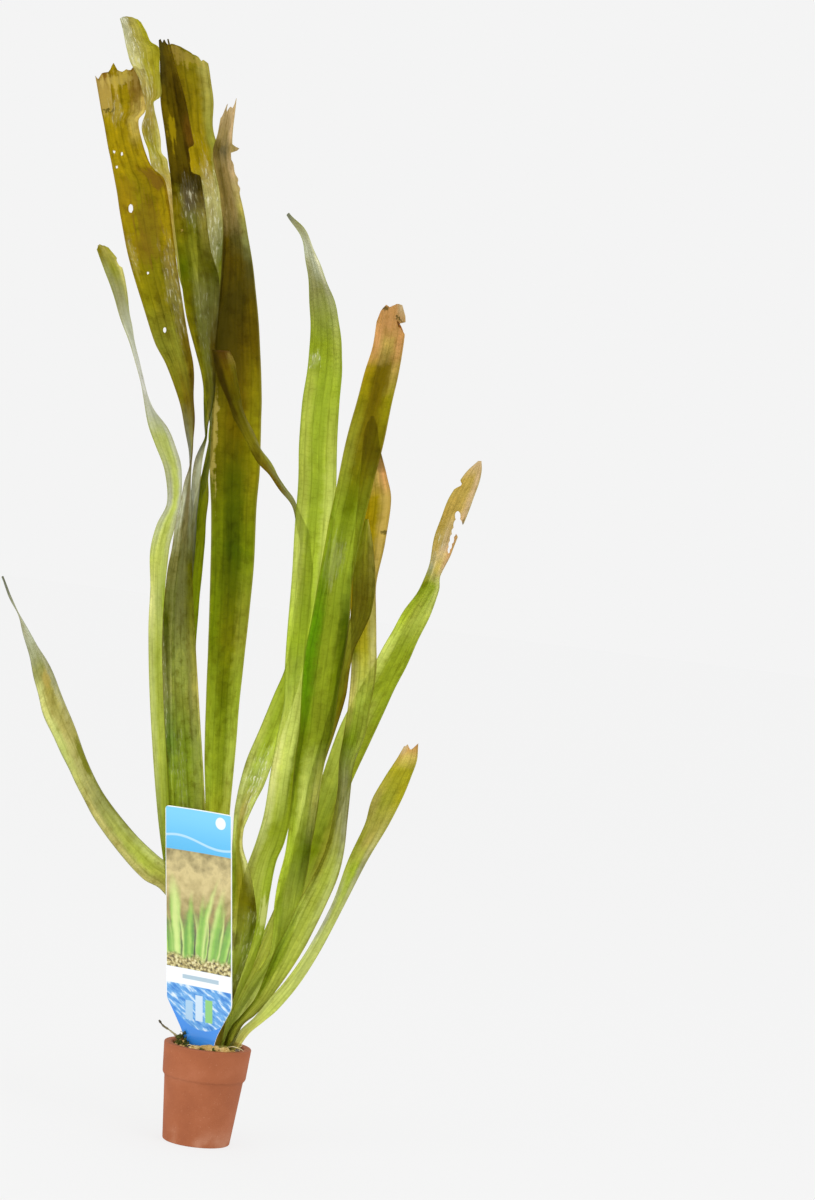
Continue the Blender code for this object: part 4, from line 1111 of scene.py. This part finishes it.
pot_outline = [
    (0.0, FLOOR_THICKNESS), (BASE_RADIUS - WALL, FLOOR_THICKNESS),
    (RIM_TOP_RADIUS - WALL, POT_HEIGHT), (RIM_TOP_RADIUS, POT_HEIGHT),
    (RIM_BOTTOM_RADIUS, POT_HEIGHT - RIM_HEIGHT), (BODY_TOP_RADIUS, POT_HEIGHT - RIM_HEIGHT - MM),
    (BASE_RADIUS, 0.0), (0.0, 0.0),
]
pot_bm = bmesh.new()
verts = [pot_bm.verts.new((radius, 0.0, height)) for radius, height in pot_outline]
for low, high in zip(verts, verts[1:]):
    pot_bm.edges.new((low, high))
bmesh.ops.spin(
    pot_bm, geom=pot_bm.verts[:] + pot_bm.edges[:], axis=(0, 0, 1), cent=(0, 0, 0),
    angle=math.tau, steps=SPIN_STEPS, use_merge=True,
)
bmesh.ops.remove_doubles(pot_bm, verts=pot_bm.verts, dist=0.01 * MM)
face_outwards(pot_bm)
sharp = [
    e for e in pot_bm.edges
    if len(e.link_faces) == 2 and e.calc_face_angle() > SHARP_ANGLE
    and min(math.hypot(v.co.x, v.co.y) for v in e.verts) > MM
]
bevelled(pot_bm, sharp, CORNER_ROUNDING, 4)

# %% [markdown]
# Fired clay is matt and even from far away, but close up it has darker specks, pale lime bloom
# and faint rings from turning. The rings are stretched noise: very wide round the pot and thin
# upwards.

# %% The clay finish
def object_place():
    return add("TexCoord", out="Object")


clay = new_finish("fired_clay")
place = object_place()
cloud = noise(place, 55.0, 4.0)
specks = noise(place, 1500.0, 2.0)
rings = noise(stretch(place, 0.15, 0.15, 1.0), 900.0)
color = ramp(cloud, [(0.3, (158, 90, 57)), (0.52, (167, 97, 62)),
                     (0.75, (178, 108, 74))])
color = blend(fade(specks, 0.64, 0.74, 0.0, 0.45), color, (128, 62, 36))
color = blend(fade(specks, 0.34, 0.26, 0.0, 0.35), color, (222, 164, 130))
height_up = split(place)[2]
bloom = fade(height_up, 0.012, 0.0) * fade(cloud, 0.45, 0.65)
color = blend(bloom * 0.35, color, (206, 160, 132))
damp = fade(height_up, 0.046, 0.0505) * fade(cloud, 0.35, 0.6, 0.3, 1.0)
color = blend(damp * 0.4, color, (140, 78, 48))
close_finish(skin(color, 0.82, 0.25, relief(rings * 0.6 + specks * 0.4, 0.5, 0.25)))
place_piece("clay_pot", pot_bm, clay, "pot", "pot")

# %% [markdown]
# ## The rooting fibre
# The plant was grown in a plug of mineral wool that has turned brown, with bits of moss and dirt
# in it. The plug is a disc of fine grid, lifted into lumps by smooth noise, whose border is
# drawn down into the pot. Loose clumps lie on it along the front of the rim.

# %% The plug
MEDIUM_TOP = 46 * MM
GAP = 0.3 * MM
PLUG_CELLS = 72
PLUG_RADIUS = RIM_TOP_RADIUS - WALL - 2.5 * GAP
PLUG_BORDER = 2 * MM


def lump(x, y, scale, seed):
    return smooth_noise.noise(Vector((x * scale, y * scale, seed)))


plug_bm = bmesh.new()
bmesh.ops.create_grid(plug_bm, x_segments=PLUG_CELLS, y_segments=PLUG_CELLS, size=1.0)
for vert in plug_bm.verts:
    x, y = vert.co.x, vert.co.y
    vert.co.x = x * math.sqrt(1 - y * y / 2) * PLUG_RADIUS
    vert.co.y = y * math.sqrt(1 - x * x / 2) * PLUG_RADIUS
    rise = 1.1 * lump(vert.co.x, vert.co.y, 260, 1.5) + 0.5 * lump(vert.co.x, vert.co.y, 800, 4.0)
    inside = min(1.0, (PLUG_RADIUS - math.hypot(vert.co.x, vert.co.y)) / PLUG_BORDER)
    vert.co.z = MEDIUM_TOP + MM * (0.5 + rise) * inside
low_ring, _ = drawn_on(plug_bm, [e for e in plug_bm.edges if e.is_boundary])
low_radius = BASE_RADIUS - WALL - GAP
for vert in low_ring:
    vert.co.x *= low_radius / PLUG_RADIUS
    vert.co.y *= low_radius / PLUG_RADIUS
    vert.co.z = FLOOR_THICKNESS + GAP
close_ends(plug_bm)


# %% The fibre finish
def fibre_finish(name, dark, middle, light, scale=420.0):
    material = new_finish(name)
    place = object_place()
    tangle = noise(place, scale, 5.0, 0.7)
    hairs = add("TexNoise", {"Vector": stretch(place, 0.25, 1.0, 0.6), "Scale": scale * 4,
                             "Detail": 3.0, "Distortion": 1.4})
    mixed = tangle * 0.6 + hairs * 0.4
    color = ramp(mixed, [(0.36, dark), (0.5, middle), (0.64, light)])
    close_finish(skin(color, 0.9, 0.2, relief(mixed, 0.9, 0.5)))
    return material


brown_fibre = fibre_finish("brown_fibre", (44, 30, 16), (104, 78, 40), (158, 128, 74))
pale_fibre = fibre_finish("pale_fibre", (128, 92, 38), (190, 156, 90), (226, 202, 142))
place_piece("rooting_plug", plug_bm, brown_fibre, "growing_medium", "growing_medium")

# %% [markdown]
# The clumps along the rim are small balls, squashed and roughened by the same smooth noise. One
# pale crumb of stone is wedged at the right.

# %% Loose clumps
CLUMPS = [
    ((2.4, -16.4, 50.3), (5.4, 2.2, 2.4)), ((8.8, -15.2, 50.0), (3.8, 2.2, 2.0)),
    ((-4.8, -16.2, 49.4), (4.4, 2.2, 2.0)), ((13.0, -11.4, 48.8), (2.6, 2.4, 1.9)),
    ((-11.6, -11.4, 47.9), (3.2, 2.8, 2.2)), ((-15.0, -5.4, 47.6), (2.4, 3.0, 2.4)),
    ((16.2, -4.6, 47.6), (1.8, 3.2, 1.8)), ((-13.0, 6.0, 47.4), (3.0, 4.2, 2.2)),
    ((-4.0, 14.2, 47.5), (5.2, 2.6, 2.0)), ((8.0, 13.4, 47.4), (4.6, 2.8, 1.8)),
]
STONE_CENTRE = (15.6, -8.6, 50.0)
STONE_SIZE = (1.1, 0.9, 1.1)


def crumb(bm, centre, size, seed, detail=3, rough=0.35):
    made = bmesh.ops.create_icosphere(bm, subdivisions=detail, radius=1.0)["verts"]
    for vert in made:
        push = 1 + rough * smooth_noise.noise(vert.co * 1.7 + Vector((seed, 0, 0)))
        push += rough * 0.5 * smooth_noise.noise(vert.co * 4.5 + Vector((0, seed, 0)))
        vert.co = Vector([centre[i] * MM + vert.co[i] * push * size[i] * MM for i in range(3)])


clump_bm = bmesh.new()
for seed, (centre, size) in enumerate(CLUMPS):
    crumb(clump_bm, centre, size, seed * 3.1)
place_piece("fibre_clumps", clump_bm, pale_fibre, "growing_medium")

stone_bm = bmesh.new()
crumb(stone_bm, STONE_CENTRE, STONE_SIZE, 5.0, rough=0.5)
stone = fibre_finish("grey_crumb", (60, 52, 42), (140, 130, 112), (206, 198, 178), 900.0)
place_piece("stone_crumb", stone_bm, stone, "growing_medium")

# %% [markdown]
# ## Threads: fibres, rootlets and the old runner
# Fibres, rootlets and the dead runner are all thin round threads along a bent path. One helper
# makes them: a small ring is drawn along the path with extrude and turned to face along it.
# The many fibres have only a few sides each.

# %% The thread helper
def thread(bm, route, radii, sides):
    ahead = [(route[min(i + 1, len(route) - 1)] - route[max(i - 1, 0)]).normalized()
             for i in range(len(route))]
    ring = bmesh.ops.create_circle(bm, cap_ends=False, radius=1.0, segments=sides)["verts"]
    flat = [v.co.copy() for v in ring]
    edges = list(dict.fromkeys(e for v in ring for e in v.link_edges))
    turn = Vector((0, 0, 1)).rotation_difference(ahead[0])
    for i, (spot, radius) in enumerate(zip(route, radii)):
        if i:
            turn = ahead[i - 1].rotation_difference(ahead[i]) @ turn
            before = [v.co.copy() for v in ring]
            ring, edges = drawn_on(bm, edges)
            flat = [flat[k] for k in drawn_from(ring, before)]
        for vert, corner in zip(ring, flat):
            vert.co = spot + turn @ (corner * radius)


def drawn_from(ring, before):
    """Which old corner each new corner was drawn from: extrude leaves it in the same place."""
    return [min(range(len(before)), key=lambda k: (before[k] - v.co).length) for v in ring]


def wandering_route(start, heading, length, steps, bend, rng):
    route, spot, aim = [Vector(start)], Vector(start), Vector(heading).normalized()
    for _ in range(steps):
        aim = (aim + Vector([rng.uniform(-bend, bend) for _ in range(3)])).normalized()
        spot = spot + aim * (length / steps)
        route.append(spot.copy())
    return route


# %% The fibres
FIBRE_COUNT = 260
FIBRE_STEPS = 6
FIBRE_BEND = 0.5
FIBRE_CEILING = 51.0 * MM

rng = random.Random(4)
fibre_bm = bmesh.new()
for _ in range(FIBRE_COUNT):
    turn = rng.uniform(0, math.tau)
    out = math.sqrt(rng.uniform(0.25, 0.92)) * PLUG_RADIUS
    start = (out * math.cos(turn), out * math.sin(turn), MEDIUM_TOP + rng.uniform(0.2, 2.4) * MM)
    heading = (rng.uniform(-1, 1), rng.uniform(-1, 1), rng.uniform(-0.15, 0.45))
    length = rng.uniform(3, 7) * MM
    route = wandering_route(start, heading, length, FIBRE_STEPS, FIBRE_BEND, rng)
    route = [Vector((p.x, p.y, min(p.z, FIBRE_CEILING))) for p in route
             if math.hypot(p.x, p.y) < PLUG_RADIUS - 0.1 * MM]
    if len(route) > 2:
        radius = rng.uniform(0.06, 0.11) * MM
        thread(fibre_bm, route, [radius] * (len(route) - 1) + [radius * 0.4], 3)
face_outwards(fibre_bm)
place_piece("loose_fibres", fibre_bm, pale_fibre, "growing_medium")

# %% [markdown]
# A few pale young roots come out of the crown and lie over the fibre, and dark green moss sits
# in a small heap beside the label. The roots are thicker than the fibres.

# %% Rootlets
ROOT_STEPS = 18
ROOT_RADIUS = 0.32 * MM
ROOT_TAPER = 0.7
ROOTLETS = [
    [(6.5, -9.5, 48.6), (9.0, -12.0, 50.8), (13.0, -13.4, 52.6), (17.0, -12.6, 52.0),
     (19.0, -11.0, 50.6)],
    [(3.0, -10.0, 48.0), (5.0, -13.0, 50.4), (7.0, -16.4, 51.2), (7.8, -19.2, 50.6)],
    [(-6.0, -10.0, 47.8), (-9.4, -13.0, 50.0), (-8.4, -16.2, 51.4), (-4.6, -18.4, 51.0)],
    [(12.0, -7.0, 48.0), (15.4, -8.6, 50.0), (18.0, -7.0, 50.8)],
    [(-9.0, -2.0, 48.0), (-13.6, -4.2, 49.6), (-16.4, -8.4, 50.6)],
    [(2.0, 10.0, 48.0), (1.0, 14.6, 50.2), (-4.0, 17.6, 50.6)],
    [(13.6, 4.0, 48.0), (17.0, 7.0, 50.2), (16.0, 11.6, 50.6)],
]


def dense_route(points, steps):
    places = [Vector(p) * MM for p in points]
    read = smooth_path(places, list(range(len(places))))
    return [read((len(places) - 1) * i / steps) for i in range(steps + 1)]


root_radii = [ROOT_RADIUS * (1 - ROOT_TAPER * i / ROOT_STEPS) for i in range(ROOT_STEPS + 1)]
root_bm = bmesh.new()
for points in ROOTLETS:
    thread(root_bm, dense_route(points, ROOT_STEPS), root_radii, 6)
face_outwards(root_bm)
pale_root = fibre_finish("pale_root", (196, 172, 110), (224, 208, 158), (240, 232, 200), 300.0)
place_piece("rootlets", root_bm, pale_root, "growing_medium")

# %% Moss
MOSS_SPOTS = [
    (-12.4, -9.4, 50.6), (-10.4, -11.0, 52.0), (-11.6, -8.6, 53.0), (-10.2, -12.6, 50.0),
    (-14.4, -6.6, 49.4), (-16.4, -2.0, 48.8), (11.6, -13.2, 49.8), (-2.0, -17.0, 49.8),
    (4.4, -17.2, 50.0), (-14.4, -9.6, 51.8), (-13.6, -10.0, 53.6), (-12.6, -10.2, 55.4),
    (-14.8, -9.0, 54.2),
]
MOSS_BITS = 9
MOSS_SPREAD = 1.3

moss_bm = bmesh.new()
for number, spot in enumerate(MOSS_SPOTS):
    for _ in range(MOSS_BITS):
        centre = [c + rng.uniform(-MOSS_SPREAD, MOSS_SPREAD) for c in spot]
        size = [rng.uniform(0.3, 0.9) for _ in range(3)]
        crumb(moss_bm, centre, size, number + rng.uniform(0, 9), 1, 0.6)
moss = fibre_finish("dark_moss", (30, 34, 12), (72, 78, 24), (120, 124, 50), 800.0)
place_piece("moss_bits", moss_bm, moss, "growing_medium")

# %% [markdown]
# ## The crown
# All leaves rise from one short stem. Its outside is made of the sheaths of the outer leaves,
# which show as upright ridges. A stack of rings does this: each is a circle of many points
# whose radius waves in and out, wide at the foot and drawn in at the top.

# %% The crown
CROWN_CENTRE = (3.6 * MM, 0.6 * MM)
CROWN_RADII = (13.0 * MM, 9.8 * MM)
CROWN_RINGS = [(1.0, 46.3), (1.0, 47.2), (0.98, 48.2), (0.95, 49.2), (0.9, 50.2), (0.84, 50.9),
               (0.76, 50.4), (0.7, 49.0)]

crown_bm = bmesh.new()
ring = bmesh.ops.create_circle(crown_bm, cap_ends=True, radius=1.0, segments=120)["verts"]
edges = crown_bm.edges[:]
centre, radii = (0.0, 0.0), (1.0, 1.0)
for number, (share, height) in enumerate(CROWN_RINGS):
    if number:
        ring, edges = drawn_on(crown_bm, edges)
        centre, radii = CROWN_CENTRE, CROWN_RADII
    for vert in ring:
        turn = math.atan2((vert.co.y - centre[1]) / radii[1], (vert.co.x - centre[0]) / radii[0])
        ridge = 0.03 * math.sin(turn * 11 + 0.6) + 0.014 * math.sin(turn * 31)
        size = share + ridge * min(1.0, number / 3)
        lift = 0.7 * math.sin(turn * 5 + 1.0) * (number > 3)
        vert.co = Vector((CROWN_CENTRE[0] + CROWN_RADII[0] * size * math.cos(turn),
                          CROWN_CENTRE[1] + CROWN_RADII[1] * size * math.sin(turn),
                          (height + lift) * MM))
close_ends(crown_bm)

# %% The crown's finish
sheath = new_finish("leaf_sheath")
place = object_place()
streaks = noise(stretch(place, 1.0, 1.0, 0.12), 700.0, 4.0)
color = blend(fade(split(place)[2], 0.0465, 0.0505), (150, 122, 66), (166, 160, 74))
color = blend(fade(streaks, 0.4, 0.66, 0.0, 0.7), color, (96, 82, 34))
close_finish(skin(color, 0.45, 0.3, relief(streaks, 0.6, 0.3)))
place_piece("crown_sheath", crown_bm, sheath, "crown", "crown")

# %% [markdown]
# ## The old runner
# A dead runner hooks out over the left of the rim. It is a thread like the roots, thicker, with
# small knots, and it darkens to its tip.

# %% The old runner
RUNNER_ROUTE = [(-13.0, -3.5, 47.6), (-14.2, -3.8, 50.4), (-16.6, -4.2, 53.2),
                (-20.2, -4.6, 55.6), (-23.6, -4.8, 57.4), (-26.2, -4.6, 60.0)]
RUNNER_STEPS = 48

runner_radii = []
for i in range(RUNNER_STEPS + 1):
    share = i / RUNNER_STEPS
    knots = 0.1 * math.sin(share * 19) + 0.07 * math.sin(share * 47 + 1)
    tip = 0.25 * max(0.0, 1 - abs(share - 0.93) / 0.06)
    runner_radii.append((0.56 + knots + tip - 0.1 * share) * MM)
runner_bm = bmesh.new()
thread(runner_bm, dense_route(RUNNER_ROUTE, RUNNER_STEPS), runner_radii, 12)
close_ends(runner_bm)
stalk = new_finish("dead_stalk")
place = object_place()
grain = noise(place, 900.0, 4.0)
color = ramp(fade(split(place)[2], 0.050, 0.0595), [
    (0.0, (150, 132, 84)), (0.55, (176, 168, 132)), (0.85, (120, 112, 84)),
    (1.0, (74, 68, 52))])
color = blend(fade(grain, 0.45, 0.7, 0.0, 0.6), color, (78, 64, 40))
close_finish(skin(color, 0.7, 0.3, relief(grain, 0.7, 0.2)))
place_piece("runner_stalk", runner_bm, stalk, "old_runner", "old_runner")

# %% [markdown]
# ## The label
# The label is a thin plastic card with rounded corners that narrows to a stake. It is drawn flat
# in its own frame, given its thickness, bowed a little, and only then turned into its place in
# the pot. Its print follows the card through a map that was written while it was still flat.

# %% The flat card
LABEL_WIDTH = 39.8 * MM
LABEL_HEIGHT = 128.4 * MM
LABEL_THICKNESS = 0.6 * MM
LABEL_CORNER = 2.0 * MM
SHOULDER_CORNER = 2.2 * MM
CARD_EDGE = 0.12 * MM
CARD_STRIPS = 16
CARD_RIGHT = [(4.8, -12), (8, -9), (8, 3), (9.2, 7), (10.6, 11.5), (13.6, 17), (19.9, 28),
              (19.9, 128.4)]

card_bm = bmesh.new()
outline = CARD_RIGHT + [(-across, height) for across, height in reversed(CARD_RIGHT)]
card_bm.faces.new([card_bm.verts.new((x * MM, 0.0, z * MM)) for x, z in outline])
top = [v for v in card_bm.verts if v.co.z > LABEL_HEIGHT - MM]
bevelled(card_bm, top, LABEL_CORNER, 6, "VERTICES")
shoulder = [v for v in card_bm.verts if 5 * MM < v.co.z < 30 * MM]
bevelled(card_bm, shoulder, SHOULDER_CORNER, 3, "VERTICES")
grown = bmesh.ops.extrude_face_region(card_bm, geom=card_bm.faces[:])["geom"]
moved = [item for item in grown if isinstance(item, bmesh.types.BMVert)]
bmesh.ops.translate(card_bm, verts=card_bm.verts, vec=(0, LABEL_THICKNESS / 2, 0))
bmesh.ops.translate(card_bm, verts=moved, vec=(0, -LABEL_THICKNESS, 0))
face_outwards(card_bm)
edge_loop = [e for e in card_bm.edges if len(e.link_faces) == 2 and e.calc_face_angle() > 1.2
             and abs(e.verts[0].co.y - e.verts[1].co.y) < 0.01 * MM]
bevelled(card_bm, edge_loop, CARD_EDGE, 2)
for number in range(1 - CARD_STRIPS // 2, CARD_STRIPS // 2):
    bmesh.ops.bisect_plane(card_bm, geom=card_bm.verts[:] + card_bm.edges[:] + card_bm.faces[:],
                           dist=0.001 * MM, plane_co=(number * LABEL_WIDTH / CARD_STRIPS, 0, 0),
                           plane_no=(1, 0, 0))

# %% The card's map, bow and place
CARD_MAP = 100 * MM
LABEL_BOW = 0.8 * MM
BOW_MIDDLE = 0.4
LABEL_FOOT = (-3.1 * MM, -11.5 * MM, MEDIUM_TOP)
LABEL_TURNS = ((-29, "Z"), (12, "X"), (-0.7, "Y"))

card_uv = card_bm.loops.layers.uv.new("card_plan")
for face in card_bm.faces:
    face.normal_update()
    face.material_index = 0 if face.normal.y < -0.5 else 1
    for loop in face.loops:
        loop[card_uv].uv = (loop.vert.co.x / CARD_MAP + 0.5, loop.vert.co.z / CARD_MAP)
for vert in card_bm.verts:
    lift = max(0.0, min(1.0, vert.co.z / LABEL_HEIGHT))
    vert.co.y -= LABEL_BOW * lift * ((2 * vert.co.x / LABEL_WIDTH) ** 2 - BOW_MIDDLE)
label_turn = Matrix.Translation(LABEL_FOOT)
for degrees, axis in LABEL_TURNS:
    label_turn = label_turn @ Matrix.Rotation(math.radians(degrees), 4, axis)
bmesh.ops.transform(card_bm, matrix=label_turn, verts=card_bm.verts)

# %% [markdown]
# The print is a plain design of its own in the usual colours of such cards: a sky blue head
# with a thin pale line and a round white spot, a picture field with a sandy haze, green reeds
# and a gravel ground, a white band with a plain grey bar, a lower blue field with slanted pale
# streaks and three plain bars, and a bright blue foot. Each part is a range of height or width
# on the card with a soft edge, one laid over the other.

# %% The head of the print
def within(value, low, high, soft=0.12):
    return fade(value, low - soft, low + soft) * fade(value, high - soft, high + soft, 1.0, 0.0)


printed = new_finish("printed_card")
card_mm = vectors("ADD", add("UVMap", uv_map="card_plan"), (-0.5, 0.0, 0.0))
card_mm = stretch(card_mm, 100.0, 100.0, 0.0)
across, up, _ = split(card_mm)
color = blend(fade(up, 104.0, 128.0), (86, 186, 238), (122, 208, 250))
wave = within(up + maths("SINE", across * 0.12) * 2.4, 111.0, 112.2, 0.3)
color = blend(wave * 0.6, color, (214, 240, 252))
from_spot = vectors("LENGTH", vectors("SUBTRACT", card_mm, (13.2, 123.2, 0.0)))
color = blend(fade(from_spot, 2.95, 3.25, 1.0, 0.0), color, (240, 248, 252))

# %% The picture field and the white band
ground = noise(card_mm, 0.16, 5.0)
picture = ramp((up - 44.0) * 0.011 + ground * 0.5, [
    (0.2, (52, 62, 44)), (0.42, (84, 98, 66)), (0.6, (160, 144, 86)),
    (0.8, (214, 196, 136)), (1.0, (128, 116, 70))])
ripple = noise(stretch(card_mm, 1.0, 0.4, 1.0), 0.3) * 1.4
for spread, hue_seed, high in ((0.3, 1.7, 60.0), (0.17, 5.2, 74.0)):
    sway = maths("SINE", up * (spread * 0.25)) * 2.2
    lean = across * (up - 36.0) * -0.009
    lane = ((across + sway) + (lean + ripple)) * spread
    hue = noise(add("CombineXYZ", {0: lane, 1: hue_seed}), 1.7, 0.0)
    reed_top = maths("ADD", high - 16.0, hue * 60.0)
    reed = fade(maths("PINGPONG", lane, 0.5), 0.04, 0.3) * fade(reed_top - up, 0.0, 16.0)
    reed_tone = ramp(hue + ground * 0.15, [
        (0.4, (96, 156, 60)), (0.56, (150, 204, 84)), (0.7, (214, 236, 140))])
    picture = blend(reed * 0.85, picture, reed_tone)
gravel = ramp(noise(card_mm, 0.55, 2.0), [
    (0.36, (84, 78, 50)), (0.5, (176, 160, 96)), (0.64, (232, 224, 170))])
picture = blend(fade(up + ground * 8.0, 53.0, 57.0, 1.0, 0.0), picture, gravel)
color = blend(within(up, 44.5, 106.3), color, picture)
color = blend(within(up, 36.0, 44.5), color, (246, 248, 250))
bar = within(up, 39.2, 41.4) * within(across, -10.0, 12.0)
color = blend(bar, color, (176, 200, 214))

# %% The lower field and the foot
slant = add("VectorRotate", {"Vector": card_mm, "Angle": math.radians(32)}, rotation_type="Z_AXIS")
lower = ramp(noise(stretch(slant, 0.3, 1.0, 1.0), 0.5, 5.0), [
    (0.35, (52, 128, 210)), (0.52, (110, 176, 232)), (0.66, (226, 240, 250))])
for centre, high, bar_tone in ((-6.0, 28.0, (170, 206, 234)), (0.0, 31.5, (206, 226, 242)),
                               (6.0, 30.0, (142, 204, 120))):
    column = within(across, centre - 2.2, centre + 2.2) * within(up, 18.0, high)
    lower = blend(column, lower, bar_tone)
color = blend(within(up, 6.0, 36.0), color, lower)
foot_edge = maths("ADD", 13.4, across * across * 0.03) - across * 0.12
color = blend(fade(foot_edge - up, -0.2, 0.2), color, (58, 142, 232))
border = maths("MAXIMUM", fade(maths("ABSOLUTE", across), 19.45, 19.6), fade(up, 127.9, 128.1))
color = blend(border, color, (244, 248, 250))


# %% The card's gloss
def gloss_card(color):
    return add("BsdfPrincipled", {"Base Color": color, "Roughness": 0.16,
                                  "Specular IOR Level": 0.5, "Coat Weight": 0.4})


close_finish(gloss_card(color))
bare = new_finish("bare_card")
close_finish(gloss_card((236, 240, 242)))
label_card = place_piece("label_card", card_bm, [printed, bare], "plant_label", "plant_label")
for polygon in label_card.data.polygons:
    polygon.use_smooth = False
